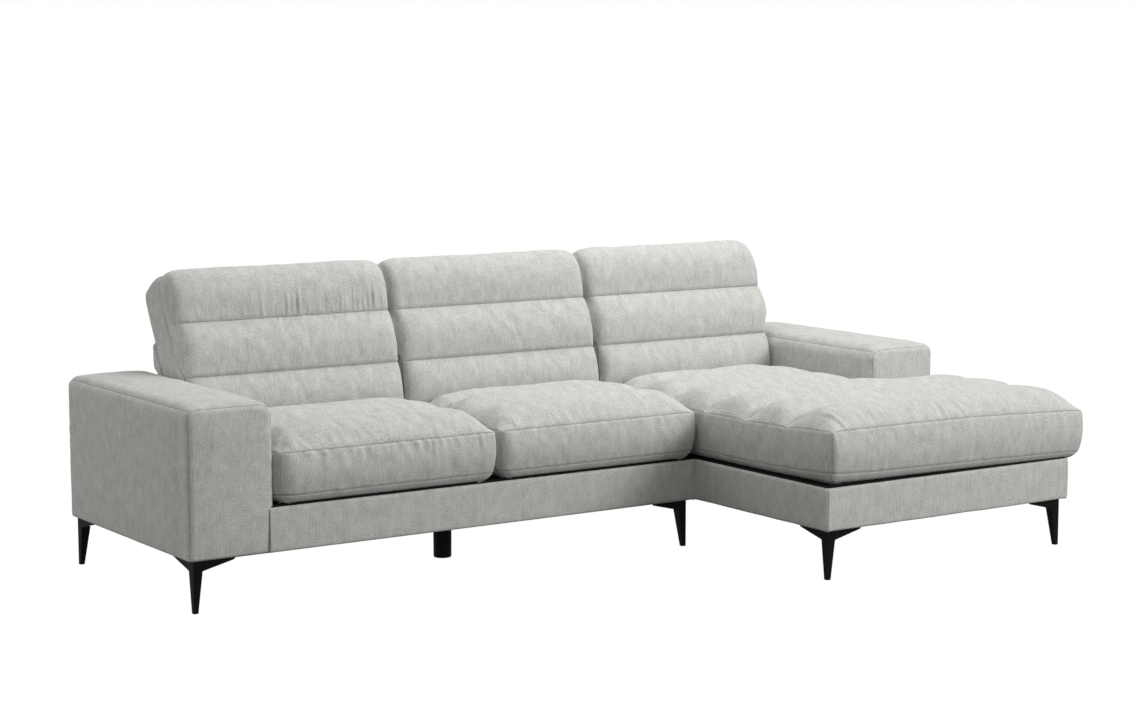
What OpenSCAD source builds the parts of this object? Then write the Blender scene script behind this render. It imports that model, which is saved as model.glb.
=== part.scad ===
// Sectional sofa: a two seater with the left arm joined to a chaise with the right arm.
// Three back units with sewn channels tilt forward on pairs of ratchet hinges.
// It is drawn from the left arm's outer face (X), the front plane of the arms (Y) and the floor
// (Z), then moved so that the origin is on the floor under the middle of the whole sofa.

/* [Overall] */
// Width of each arm
arm_w = 255; // [220:5:300]
// Width from the left arm to the chaise, shared by the two seats
seat_span = 1498; // [1300:2:1700]
// Width of the chaise, with its arm
chaise_w = 1000; // [900:5:1100]
// Depth of the arms and of the seat base
depth = 861; // [840:1:900]
// How far the chaise base stands in front of the seat base
chaise_out = 648; // [500:2:760]
// Height of the arms above the floor
arm_top = 583; // [560:1:640]
// Height of the underside of the base, which is the height of the legs
leg_h = 150; // [120:1:180]
// Height of the upholstered rails
rail_h = 130; // [110:1:150]

/* [Cushions] */
// Height of a seat cushion's side, from the deck to its top seam
seat_side_h = 157; // [130:1:170]
// How far the crown of a seat rises over its top seam
seat_crown = 40; // [20:1:50]
// How far each sewn channel of a seat puffs up between its seams
seat_puff = 16; // [6:1:20]
// Depth of a seat cushion behind the front plane of the arms
seat_depth = 508; // [480:1:510]
// How far the seats hang over the front rail
seat_over = 24; // [0:1:40]
// How far the chaise cushion hangs over the chaise base in front
chaise_over = 22; // [0:1:40]
// How far the chaise cushion hangs over the chaise base at the outer side
chaise_side_over = 37; // [0:1:60]
// Sewn channels across a seat
seat_channels = 3; // [2:1:4]
// Length of a seat's first channel, behind its front seam
seat_first_l = 212; // [170:2:220]
// Length of the channels behind it
seat_channel_l = 170; // [130:2:180]
// Sewn channels across the chaise cushion
chaise_channels = 6; // [4:1:6]
// Length of the chaise cushion's first channel
chaise_first_l = 223; // [180:1:240]
// Length of the channels behind it
chaise_channel_l = 200; // [150:2:210]
// Gap between two neighbouring cushions or back units
soft_gap = 4; // [2:0.5:10]

/* [Back units] */
// Gap from the rear of a seat to the foot of a back unit
back_gap = 30; // [28:1:40]
// Height of the foot of a back unit above the floor
back_foot_h = 425; // [424:1:440]
// Thickness of a back unit at its foot
back_foot_t = 112; // [106:1:120]
// Thickness of the front pad at the foot
back_pad_t = 18; // [16:1:22]
// Backward lean of the lowest channel in degrees
foot_lean = 6.5; // [4:0.5:8]
// Backward lean of the front face over it in degrees
front_lean = 19.9; // [18:0.1:21]
// Backward lean of the rear face in degrees
rear_lean = 28.3; // [26:0.1:30]
// Height of the lowest sewn channel
low_channel_h = 165; // [150:1:180]
// Height of the middle sewn channel
mid_channel_h = 160; // [150:1:170]
// Height of the top roll, from its foot to its rear seam
roll_h = 138; // [130:1:145]
// Depth of the top roll, from its foot to its rear seam
roll_d = 127; // [118:1:136]
// How far the roll goes up straight along the lean before it turns
roll_reach = 100; // [80:1:110]
// How far the roll turns back over the top towards its rear seam
roll_flat = 58; // [45:1:70]
// Height of the roll's turn over its rear seam
roll_rise = 14; // [8:1:18]
// How far the two upper channels of a back unit puff out
back_puff = 20; // [10:1:22]
// How far its lowest channel puffs out over the seat
foot_puff = 26; // [12:1:28]
// How far the centre of the rear top corner lies under the front roll
rear_roll_drop = 81; // [76:1:90]
// Radius of the rear top corner of a back unit
rear_roll_r = 36; // [30:1:40]

/* [Fixed back] */
// Height of the outside back above the floor
fixed_back_h = 545; // [530:1:550]
// Height of the fixed bolster above the outside back
bolster_h = 137; // [120:1:150]
// Thickness of the bolster's foot
bolster_foot_t = 44; // [36:1:50]
// How far the bolster's belly hangs behind its foot
bolster_belly = 37; // [30:1:42]
// Running gap between a back unit and the bolster it leans over
lean_gap = 1; // [0.5:0.1:3]

/* [Timber and cover] */
// Thickness of the base boards
board_t = 22; // [18:1:25]
// Thickness of plywood ribs and back unit sides
ply_t = 18; // [12:1:21]
// Thickness of the cover and its wadding on rails and outside backs
cover_t = 6; // [4:0.5:8]
// Width of the cover's turned edge under and over a rail
turn_w = 30; // [29:1:34]
// Thickness of the cover and foam of the back units' gussets
foam_t = 8; // [6:0.5:10]
// Thickness of the cover and foam on the arms
arm_pad_t = 14; // [12:0.5:16]
// Thickness of the black deck cloth with its felt
deck_t = 3; // [2:0.5:4]
// Thickness of the dust cloth under the base
dust_t = 1; // [0.8:0.1:2]
// Diameter of the zigzag spring wire
wire_d = 3.6; // [3:0.1:4]
// Greatest distance between two zigzag springs
spring_pitch = 110; // [90:5:130]
// Diameter of the bolts that join arms and modules
bolt_d = 8; // [6:1:10]

/* [Legs] */
// Width of a wing leg at the floor, on each of its two faces
leg_foot_w = 14; // [12:0.5:20]
// Width of a wing leg's post under its wings
leg_post_w = 29; // [26:1:36]
// Length of each wing
wing_l = 130; // [110:1:135]
// Height of the wings at the post
wing_h = 30; // [24:1:36]
// Height of a wing's blunt tip
wing_tip_h = 7; // [5:0.5:10]
// Distance of a leg's outer faces from the edge of the base
leg_inset = 20; // [19:1:24]
// Thickness of the leg's steel
leg_plate_t = 4; // [3:0.5:5]
// Diameter of the round support leg
support_d = 58; // [50:1:70]
// Distance of the support leg behind the front plane
support_y = 311; // [200:1:400]

/* [Ratchet hinges] */
// Radius of the toothed arm at its tooth tips
ratchet_r = 30; // [27:1:31]
// Turn of the back unit from one tooth to the next, in degrees
ratchet_step = 4; // [3:1:5]
// Depth of the teeth
tooth_h = 2; // [1:0.5:3]
// Thickness of the hinge's steel plates
hinge_t = 4; // [3:0.5:5]
// Diameter of the hinge pin
pin_d = 10; // [8:1:12]
// Height of the pin under the foot of the back unit
pin_drop = 25; // [25:1:30]

/* [Hidden] */

// Places across the sofa
chaise_x = arm_w + seat_span;
base_w = chaise_x + chaise_w;
right_arm_x = base_w - arm_w;
mid_seat_x = arm_w + seat_span / 2;
// Places from front to rear
chaise_y = -chaise_out;
centre = [(base_w + chaise_side_over) / 2, (depth - chaise_out - chaise_over) / 2, 0];
// Heights
base_top = leg_h + rail_h;
deck_top = base_top + deck_t;
timber_low = leg_h + cover_t;
timber_top = base_top - cover_t;
touch = 0.3;
hole_gap = 0.1;
running_gap = 0.05;

// Back unit, front to rear and upwards
back_y = seat_depth + back_gap;
back_end_y = back_y + back_foot_t;
seam_1_h = back_foot_h + low_channel_h;
seam_2_h = seam_1_h + mid_channel_h;
seam_1_y = back_y + low_channel_h * tan(foot_lean);
seam_2_y = seam_1_y + mid_channel_h * tan(front_lean);
roll_end_y = seam_2_y + roll_d;
roll_end_h = seam_2_h + roll_h;
rear_roll_h = roll_end_h - rear_roll_drop;
function rear_y(h) = back_end_y + (h - back_foot_h) * tan(rear_lean);
rear_roll_y = rear_y(rear_roll_h - rear_roll_r * sin(rear_lean)) - rear_roll_r * cos(rear_lean);

// Cells of the three back units, from side to side
middle_back_x = chaise_x + soft_gap;
BACKS = [
    [arm_w + soft_gap, mid_seat_x + soft_gap / 2],
    [mid_seat_x + soft_gap * 1.5, middle_back_x],
    [middle_back_x + soft_gap, right_arm_x - soft_gap]
];

// Ratchet hinges: the pin, and the plates beside each back unit's side
pin_y = back_y + back_foot_t * 0.55;
pin_h = back_foot_h - pin_drop;
beam_y = pin_y - 25;
beam_w = 50;
beam_h = 40;
beam_top = pin_h - ratchet_r - 4;
spring_rail_y = beam_y - 42;
bracket_reach = 48;

// Moves a piece from the drawing's corner to the part's origin
module placed() { translate(-centre) children(); }
// A box between two opposite corners
module block(low, high) { translate(low) cube(high - low); }
// A profile drawn in Y and Z, carried along X
module along_x(x0, x1) {
    translate([x0, 0, 0]) rotate([90, 0, 90]) linear_extrude(x1 - x0) children();
}
// A profile drawn in X and Z, carried along Y
module along_y(y0, y1) {
    translate([0, y1, 0]) rotate([90, 0, 0]) linear_extrude(y1 - y0) children();
}
// Mirrors in the plane x = at, or in y = at
module flip_x(at) { translate([at, 0, 0]) mirror([1, 0, 0]) translate([-at, 0, 0]) children(); }
module flip_y(at) { translate([0, at, 0]) mirror([0, 1, 0]) translate([0, -at, 0]) children(); }
// Points along an arc
function arc(c, r, a0, a1, n = 6) =
    [for (i = [0:n]) c + r * [cos(a0 + (a1 - a0) * i / n), sin(a0 + (a1 - a0) * i / n)]];

// Bolts through timber: three along Y at each joint between an arm or module and a side rail
BOLT_Y = [for (i = [0:2]) 170 + (spring_rail_y - 60 - 170) * i / 2];
bolt_z = leg_h + rail_h * 0.45;
module bolt_holes(x0, x1) {
    for (y = BOLT_Y) translate([x0, y, bolt_z]) rotate([0, 90, 0])
        cylinder(d = bolt_d + 2 * hole_gap, h = x1 - x0, $fn = 32);
}

// Base timber

module side_board(x, y0, y1) {
    difference() {
        block([x, y0, timber_low], [x + board_t, y1, timber_top]);
        bolt_holes(x - 1, x + board_t + 1);
    }
}
module sofa_front_rail() color("burlywood") placed()
    block([arm_w, cover_t, timber_low], [chaise_x - cover_t, cover_t + board_t, timber_top]);
module sofa_rear_rail() color("burlywood") placed()
    block([arm_w, depth - cover_t - board_t, timber_low],
          [chaise_x - cover_t, depth - cover_t, timber_top]);
rail_front_y = cover_t + board_t;
rail_rear_y = depth - cover_t - board_t;
module sofa_side_rails() color("burlywood") placed() {
    side_board(arm_w, rail_front_y, rail_rear_y);
    side_board(chaise_x - cover_t - board_t, rail_front_y, rail_rear_y);
}
module sofa_spring_rail() color("burlywood") placed()
    block([arm_w + board_t, spring_rail_y, timber_low],
          [chaise_x - cover_t - board_t, spring_rail_y + board_t, timber_top]);
module chaise_front_rail() color("burlywood") placed()
    block([chaise_x + cover_t, chaise_y + cover_t, timber_low],
          [base_w - cover_t, chaise_y + cover_t + board_t, timber_top]);
module chaise_rear_rail() color("burlywood") placed()
    block([chaise_x + cover_t, rail_rear_y, timber_low],
          [right_arm_x, depth - cover_t, timber_top]);
chaise_rail_y = chaise_y + cover_t + board_t;
module chaise_side_rails() color("burlywood") placed() {
    side_board(chaise_x + cover_t, chaise_rail_y, rail_rear_y);
    side_board(right_arm_x - board_t, 0, rail_rear_y);
    block([base_w - cover_t - board_t, chaise_rail_y, timber_low],
          [base_w - cover_t, -board_t, timber_top]);
}
module chaise_step_rail() color("burlywood") placed()
    block([chaise_x + cover_t + board_t, -board_t, timber_low],
          [base_w - cover_t, 0, timber_top - wire_d * 4]);
// Cross rails stay under the springs
cross_top = timber_top - 30;
module cross_rails() color("burlywood") placed() {
    difference() {
        block([mid_seat_x - board_t, rail_front_y, timber_low],
              [mid_seat_x + board_t, spring_rail_y, cross_top]);
        translate([mid_seat_x, support_y, timber_low - 1])
            cylinder(d = bolt_d + 2 * hole_gap, h = 40, $fn = 32);
    }
    chaise_mid_x = (chaise_x + right_arm_x) / 2;
    block([chaise_mid_x, chaise_rail_y, timber_low],
          [chaise_mid_x + board_t, -board_t, cross_top]);
}
// Corners of both modules: place and the turn that points a leg's wings inwards
SOFA_CORNERS = [[0, 0, 0], [chaise_x, 0, 90],
                [chaise_x, depth, 180], [0, depth, 270]];
CHAISE_CORNERS = [[chaise_x, chaise_y, 0], [base_w, chaise_y, 90],
                  [base_w, depth, 180], [chaise_x, depth, 270]];
module at_corner(c) {
    translate([c[0], c[1], 0]) rotate(c[2]) translate([leg_inset, leg_inset, 0]) children();
}
// Screws of a leg, measured along its two wings from its outer corner
LEG_SCREWS = wing_l * [[0.48, 0.155], [0.155, 0.48], [0.31, 0.31]];
leg_screw_d = 5;
leg_screw_l = 48;
block_leg = wing_l - 14;
block_in = cover_t + board_t - leg_inset;
block_h = 50;
module corner_block() {
    difference() {
        translate([0, 0, timber_low]) linear_extrude(block_h)
            polygon([[block_in, block_in], [block_leg, block_in], [block_in, block_leg]]);
        for (s = LEG_SCREWS) translate([s[0], s[1], timber_low - 1])
            cylinder(d = leg_screw_d + 2 * hole_gap, h = block_h + 2, $fn = 24);
    }
}
module corner_blocks() color("tan") placed()
    for (c = concat(SOFA_CORNERS, CHAISE_CORNERS)) at_corner(c) corner_block();

// Ribs carry the hinge beam in front and the outside back behind
rib_ledge = beam_top - beam_h;
module back_rib(x) {
    notch_y = depth - leg_inset - block_leg - 1;
    notch_h = timber_low + block_h + 1;
    along_x(x, x + ply_t) polygon([
        [spring_rail_y + board_t, timber_low], [notch_y, timber_low], [notch_y, notch_h],
        [rail_rear_y, notch_h], [rail_rear_y, timber_top], [depth - cover_t, timber_top],
        [depth - cover_t, fixed_back_h - cover_t], [rear_y(fixed_back_h) + 12, fixed_back_h - cover_t],
        [back_end_y + 18, back_foot_h - 10], [pin_y + bracket_reach + 4, beam_top],
        [pin_y + bracket_reach + 4, rib_ledge], [spring_rail_y + board_t, rib_ledge]]);
}
RIBS = [arm_w + board_t, mid_seat_x - ply_t / 2, chaise_x - cover_t - board_t - ply_t,
        chaise_x + cover_t + board_t, right_arm_x - board_t - ply_t];
module back_ribs() color("wheat") placed() for (x = RIBS) back_rib(x);
module hinge_beams() color("burlywood") placed() {
    block([arm_w + board_t, beam_y, rib_ledge],
          [chaise_x - cover_t - board_t, beam_y + beam_w, beam_top]);
    block([chaise_x + cover_t + board_t, beam_y, rib_ledge],
          [right_arm_x - board_t, beam_y + beam_w, beam_top]);
}

// Zigzag springs

spring_z = timber_top + 1.5;
zig_pitch = 30;
zig_half = 20;
zig_arc = 3;
// Points and sideways directions along the bends of a zigzag of n half waves
function zigzag(n) = [for (i = [0:n - 1], k = [0:zig_arc])
    let (up = i % 2 == 0,
         a = up ? 180 - 180 * k / zig_arc : 180 + 180 * k / zig_arc,
         out = [cos(a), sin(a)])
    [[(i + 0.5) * zig_pitch, up ? zig_half : -zig_half] + out * zig_pitch / 2, up ? out : -out]];
// One spring along X from the origin: a wire pressed into a flat zigzag
module zigzag_spring(l) {
    path = zigzag(floor(l / zig_pitch));
    n = len(path);
    scale_l = l / (floor(l / zig_pitch) * zig_pitch);
    linear_extrude(wire_d) polygon(concat(
        [for (i = [0:n - 1]) [scale_l * (path[i][0] + path[i][1] * wire_d / 2)[0],
                              (path[i][0] + path[i][1] * wire_d / 2)[1]]],
        [for (i = [n - 1:-1:0]) [scale_l * (path[i][0] - path[i][1] * wire_d / 2)[0],
                                 (path[i][0] - path[i][1] * wire_d / 2)[1]]]));
}
clip_l = 11;
clip_w = 20;
// A clip holds the end run of a spring on top of a rail
module spring_clip() {
    difference() {
        translate([-clip_l, -clip_w / 2, timber_top]) cube([clip_l + 1, clip_w, wire_d + 2.4]);
        translate([-clip_l / 2, -clip_w / 2 - 1, spring_z - touch])
            cube([clip_l, clip_w + 2, wire_d + 2 * touch]);
    }
}
// Equal places for springs over a span
function places(a, b) = let (n = floor((b - a) / spring_pitch))
    [for (i = [0:n - 1]) a + (b - a) * (i + 0.5) / n];
sofa_spring_x = places(arm_w + board_t, chaise_x - cover_t - board_t);
sofa_spring_y0 = rail_front_y - 3;
sofa_spring_y1 = spring_rail_y + 3;
chaise_front_y = places(chaise_rail_y, -board_t);
chaise_rear_y = places(0, spring_rail_y + board_t);
chaise_spring_x0 = chaise_x + cover_t + board_t - 3;
module sofa_springs() color("dimgray") placed()
    for (x = sofa_spring_x) translate([x, sofa_spring_y0, spring_z]) rotate(90)
        zigzag_spring(sofa_spring_y1 - sofa_spring_y0);
front_spring_x1 = base_w - cover_t - board_t + 3;
rear_spring_x1 = right_arm_x - board_t + 3;
module chaise_springs() color("dimgray") placed() {
    for (y = chaise_front_y) translate([chaise_spring_x0, y, spring_z])
        zigzag_spring(front_spring_x1 - chaise_spring_x0);
    for (y = chaise_rear_y) translate([chaise_spring_x0, y, spring_z])
        zigzag_spring(rear_spring_x1 - chaise_spring_x0);
}
module clip_pair(l) {
    spring_clip();
    translate([l, 0, 0]) mirror([1, 0, 0]) spring_clip();
}
module spring_clips() color("silver") placed() {
    for (x = sofa_spring_x) translate([x, sofa_spring_y0, 0]) rotate(90)
        clip_pair(sofa_spring_y1 - sofa_spring_y0);
    for (y = chaise_front_y) translate([chaise_spring_x0, y, 0])
        clip_pair(front_spring_x1 - chaise_spring_x0);
    for (y = chaise_rear_y) translate([chaise_spring_x0, y, 0])
        clip_pair(rear_spring_x1 - chaise_spring_x0);
}

// Cloths

deck_in = 8;
module sofa_deck_cloth() color([0.06, 0.06, 0.06]) placed()
    block([arm_w + 1, deck_in, base_top],
          [chaise_x - deck_in / 4, spring_rail_y + board_t, deck_top]);
module chaise_deck_cloth() color([0.06, 0.06, 0.06]) placed() {
    block([chaise_x + deck_in, chaise_y + deck_in, base_top], [right_arm_x - 1, 0, deck_top]);
    block([chaise_x + deck_in / 4, 0, base_top], [right_arm_x - 1, spring_rail_y + board_t, deck_top]);
    block([right_arm_x - 1, chaise_y + deck_in, base_top], [base_w - deck_in, -1, deck_top]);
}
dust_in = 14;
module leg_screw_holes(corners) {
    for (c = corners) at_corner(c) for (s = LEG_SCREWS) translate([s[0], s[1], leg_h - dust_t - 1])
        cylinder(d = leg_screw_d + 2 * hole_gap, h = dust_t + 2, $fn = 24);
}
module sofa_dust_cloth() color([0.08, 0.08, 0.08]) placed() difference() {
    block([dust_in, dust_in, leg_h - dust_t], [chaise_x - dust_in, depth - dust_in, leg_h]);
    leg_screw_holes(SOFA_CORNERS);
    translate([mid_seat_x, support_y, leg_h - dust_t - 1])
        cylinder(d = bolt_d + 2 * hole_gap, h = dust_t + 2, $fn = 32);
}
module chaise_dust_cloth() color([0.08, 0.08, 0.08]) placed() difference() {
    block([chaise_x + dust_in, chaise_y + dust_in, leg_h - dust_t],
          [base_w - dust_in, depth - dust_in, leg_h]);
    leg_screw_holes(CHAISE_CORNERS);
}

// Covers of the rails: a strip that turns under and over its board, with mitred ends

edge_r = cover_t;
module strip(top = base_top) {
    polygon(concat(
        [[turn_w, leg_h]], arc([edge_r, leg_h + edge_r], edge_r, 270, 180, 3),
        arc([edge_r, top - edge_r], edge_r, 180, 90, 3),
        [[rail_over, top], [rail_over, top - cover_t], [cover_t, top - cover_t],
         [cover_t, leg_h + cover_t], [turn_w, leg_h + cover_t]]));
}
rail_over = board_t * 0.6;
// A strip along X whose outer face is at y = 0, mitred at the ends that are asked for
module mitred_strip(x0, x1, m0, m1) {
    intersection() {
        along_x(x0, x1) strip();
        translate([0, 0, leg_h - 1]) linear_extrude(rail_h + 2)
            polygon([[x0, 0], [x1, 0], [x1 - (m1 ? turn_w : 0), turn_w], [x0 + (m0 ? turn_w : 0), turn_w]]);
    }
}
module sofa_front_cover() color("silver") placed() along_x(arm_w, chaise_x - cover_t) strip();
module sofa_end_cover() color("silver") placed() difference() {
    block([chaise_x - cover_t, 0, leg_h], [chaise_x - touch, depth, base_top]);
    bolt_holes(chaise_x - cover_t - 1, chaise_x + 1);
}
module chaise_front_cover() color("silver") placed()
    translate([0, chaise_y, 0]) mitred_strip(chaise_x, base_w, true, true);
module chaise_left_cover() color("silver") placed() difference() {
    translate([chaise_x, chaise_y, 0]) rotate(-90) mirror([1, 0, 0])
        mitred_strip(0, depth - chaise_y, true, false);
    bolt_holes(chaise_x - 1, chaise_x + cover_t + 1);
}
module chaise_right_cover() color("silver") placed()
    flip_x(base_w / 2) translate([0, chaise_y, 0]) rotate(-90) mirror([1, 0, 0])
        mitred_strip(0, -chaise_y, true, false);
// Outside back: the rear face, turned forward over the ribs and under the rear rail
module outside_back(x0, x1) {
    fold = depth - rear_y(fixed_back_h) - 14;
    along_x(x0, x1) translate([depth, 0]) mirror([1, 0]) polygon(concat(
        [[turn_w, leg_h]], arc([edge_r, leg_h + edge_r], edge_r, 270, 180, 3),
        arc([edge_r * 2, fixed_back_h - edge_r * 2], edge_r * 2, 180, 90, 4),
        [[fold, fixed_back_h], [fold, fixed_back_h - cover_t],
         [cover_t, fixed_back_h - cover_t], [cover_t, leg_h + cover_t], [turn_w, leg_h + cover_t]]));
}
module sofa_rear_cover() color("silver") placed() outside_back(arm_w, chaise_x - cover_t);
module chaise_rear_cover() color("silver") placed() outside_back(chaise_x + turn_w, right_arm_x);

// Bolster: the fixed wedge that the back units lean over
module bolster(x0, x1) {
    base_y = rear_y(fixed_back_h) + lean_gap + 2;
    top_h = fixed_back_h + bolster_h;
    tip_r = 3;
    tuck_r = 20;
    belly_h = fixed_back_h + 65;
    tip = [rear_y(top_h - tip_r) + lean_gap + tip_r / cos(rear_lean), top_h - tip_r];
    tuck = [base_y + bolster_foot_t + bolster_belly - tuck_r, belly_h];
    along_x(x0, x1) polygon(concat(
        [[base_y, fixed_back_h + touch], [base_y + bolster_foot_t, fixed_back_h + touch],
         [base_y + bolster_foot_t + 2, belly_h - tuck_r - 7]],
        arc(tuck, tuck_r, -50, 8, 4), arc(tip, tip_r, 8, 180 - rear_lean, 5)));
}
module sofa_bolster() color("silver") placed() bolster(arm_w + soft_gap, chaise_x - 1);
module chaise_bolster() color("silver") placed() bolster(chaise_x + 1, right_arm_x - soft_gap);

// Arms, drawn as the left one

arm_r = 30;
arm_front_r = 15;
module arm_cover_left() {
    z0 = leg_h;
    difference() {
        intersection() {
            along_y(0, depth) polygon(concat(
                arc([edge_r, z0 + edge_r], edge_r, 180, 270, 3), [[arm_w, z0]],
                arc([arm_w - arm_r, arm_top - arm_r], arm_r, 0, 90),
                arc([arm_r, arm_top - arm_r], arm_r, 90, 180)));
            along_x(-1, arm_w + 1) polygon(concat(
                arc([arm_front_r, z0 + arm_front_r], arm_front_r, 180, 270, 4),
                arc([depth - arm_front_r, z0 + arm_front_r], arm_front_r, 270, 360, 4),
                arc([depth - arm_r, arm_top - arm_r], arm_r, 0, 90),
                arc([arm_front_r, arm_top - arm_front_r], arm_front_r, 90, 180)));
        }
        block([arm_pad_t, arm_pad_t, z0 - 1], [arm_w - arm_pad_t, depth - arm_pad_t, arm_frame_top]);
        bolt_holes(arm_w - arm_pad_t - 1, arm_w + 1);
    }
}
arm_frame_top = arm_top - arm_pad_t - 2;
arm_board_t = cover_t + board_t - arm_pad_t;
module arm_frame_left() {
    x0 = arm_pad_t;
    x1 = arm_w - arm_pad_t;
    y0 = arm_pad_t;
    y1 = depth - arm_pad_t;
    rail_top = leg_h + 90;
    // Front and rear boards
    block([x0, y0, leg_h], [x1, y0 + arm_board_t, arm_frame_top - ply_t]);
    block([x0, y1 - arm_board_t, leg_h], [x1, y1, arm_frame_top - ply_t]);
    // Top board
    block([x0, y0, arm_frame_top - ply_t], [x1, y1, arm_frame_top]);
    // Bottom rails, the inner one bolted to the base
    block([x0, y0 + arm_board_t, leg_h], [x0 + arm_board_t, y1 - arm_board_t, rail_top]);
    difference() {
        block([x1 - arm_board_t, y0 + arm_board_t, leg_h], [x1, y1 - arm_board_t, rail_top]);
        bolt_holes(x1 - arm_board_t - 1, x1 + 1);
    }
    // Middle ribs
    for (f = [1, 2]) translate([0, y0 + (y1 - y0) * f / 3 - ply_t / 2, 0])
        block([x0, 0, rail_top], [x1, ply_t, arm_frame_top - ply_t]);
}
module left_arm_frame() color("burlywood") placed() arm_frame_left();
module right_arm_frame() color("burlywood") placed() flip_x(base_w / 2) arm_frame_left();
module left_arm_cover() color("silver") placed() arm_cover_left();
module right_arm_cover() color("silver") placed() flip_x(base_w / 2) arm_cover_left();

bolt_head_t = bolt_d * 0.625;
// A bolt along X with its head at x0, its washer nut at x1
module frame_bolt(x0, x1) {
    for (y = BOLT_Y) translate([0, y, bolt_z]) rotate([0, 90, 0]) {
        translate([0, 0, x0 - bolt_head_t]) cylinder(d = bolt_d * 2, h = bolt_head_t, $fn = 6);
        translate([0, 0, x0]) cylinder(d = bolt_d, h = x1 - x0, $fn = 32);
        translate([0, 0, x1]) cylinder(d = bolt_d * 2.6, h = bolt_head_t / 2, $fn = 32);
    }
}
module frame_bolts() color("silver") placed() {
    frame_bolt(arm_w - arm_pad_t - arm_board_t, arm_w + board_t);
    frame_bolt(chaise_x - cover_t - board_t, chaise_x + cover_t + board_t);
    frame_bolt(right_arm_x - board_t, right_arm_x + arm_pad_t + arm_board_t);
}

// Legs

leg_top = leg_h - dust_t;
plate_t = 3;
// Wall of the post beside the glide's plug
plug_wall = 3;
// Outline of one face of a leg: post, tapering to the foot, and wing under the base
module leg_face() {
    polygon([[0, sole_h], [leg_foot_w, sole_h], [leg_post_w, leg_top - wing_h],
             [wing_l - 5, leg_top - wing_tip_h], [wing_l, leg_top - wing_tip_h + 4], [wing_l, leg_top],
             [0, leg_top]]);
}
sole_h = 3;
plug_h = 10;
// The post is a closed, tapered box that a glide plugs at the foot, and a wing runs out from each of
// its outer faces. The screws go through a plate over the wings.
module wing_leg() {
    along_y(0, leg_plate_t) leg_face();
    along_x(0, leg_plate_t) leg_face();
    difference() {
        translate([0, 0, sole_h])
            linear_extrude(leg_top - wing_h - sole_h, scale = leg_post_w / leg_foot_w) square(leg_foot_w);
        block([leg_plate_t, leg_plate_t, sole_h - 1],
              [leg_foot_w - plug_wall, leg_foot_w - plug_wall, sole_h + plug_h + touch]);
    }
    difference() {
        translate([0, 0, leg_top - plate_t]) linear_extrude(plate_t)
            polygon([[0, 0], [wing_l, 0], [wing_l, leg_plate_t], [leg_plate_t, wing_l], [0, wing_l]]);
        for (s = LEG_SCREWS) translate([s[0], s[1], leg_top - plate_t - 1])
            cylinder(d = leg_screw_d + 2 * hole_gap, h = plate_t + 2, $fn = 24);
    }
}
module sofa_legs() color([0.07, 0.07, 0.07]) placed() for (c = SOFA_CORNERS) at_corner(c) wing_leg();
module chaise_legs() color([0.07, 0.07, 0.07]) placed()
    for (c = CHAISE_CORNERS) at_corner(c) wing_leg();
// A glide closes the foot: a sole under the steel and a plug inside the post
module leg_glide() {
    block([0, 0, 0], [leg_foot_w, leg_foot_w, sole_h]);
    block([leg_plate_t + touch, leg_plate_t + touch, sole_h],
          [leg_foot_w - plug_wall - touch, leg_foot_w - plug_wall - touch, sole_h + plug_h]);
}
module leg_glides() color([0.05, 0.05, 0.05]) placed()
    for (c = concat(SOFA_CORNERS, CHAISE_CORNERS)) at_corner(c) leg_glide();
module leg_screw() {
    translate([0, 0, leg_top - plate_t]) cylinder(d = leg_screw_d, h = leg_screw_l, $fn = 24);
    translate([0, 0, leg_top - plate_t - 3])
        cylinder(d1 = leg_screw_d + 1, d2 = 2 * leg_screw_d, h = 3, $fn = 24);
}
module leg_screws() color("dimgray") placed()
    for (c = concat(SOFA_CORNERS, CHAISE_CORNERS)) at_corner(c)
        for (s = LEG_SCREWS) translate([s[0], s[1], 0]) leg_screw();
support_bolt_l = 36;
module support_leg() color([0.06, 0.06, 0.06]) placed() translate([mid_seat_x, support_y, 0]) {
    rotate_extrude($fn = 64) polygon([[0, 0], [support_d / 2 - 3, 0], [support_d / 2 - 1, 3],
        [support_d / 2, leg_top - 12], [support_d / 2 + 6, leg_top - 6],
        [support_d / 2 + 6, leg_top], [0, leg_top]]);
    translate([0, 0, leg_top]) cylinder(d = bolt_d, h = support_bolt_l, $fn = 32);
}

// Quilted forms

// Ordered border of a grid of stations with one corner of the grid left out beyond (iu, jv)
function border(nu, nv, iu, jv) = concat(
    [for (i = [0:nu]) [i, 0]],
    [for (j = [1:1:jv]) [nu, j]],
    iu < nu ? [for (i = [nu - 1:-1:iu]) [i, jv]] : [],
    jv < nv ? [for (j = [jv + 1:1:nv]) [iu, j]] : [],
    [for (i = [iu - 1:-1:0]) [i, nv]],
    [for (j = [nv - 1:-1:1]) [0, j]]);
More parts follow.
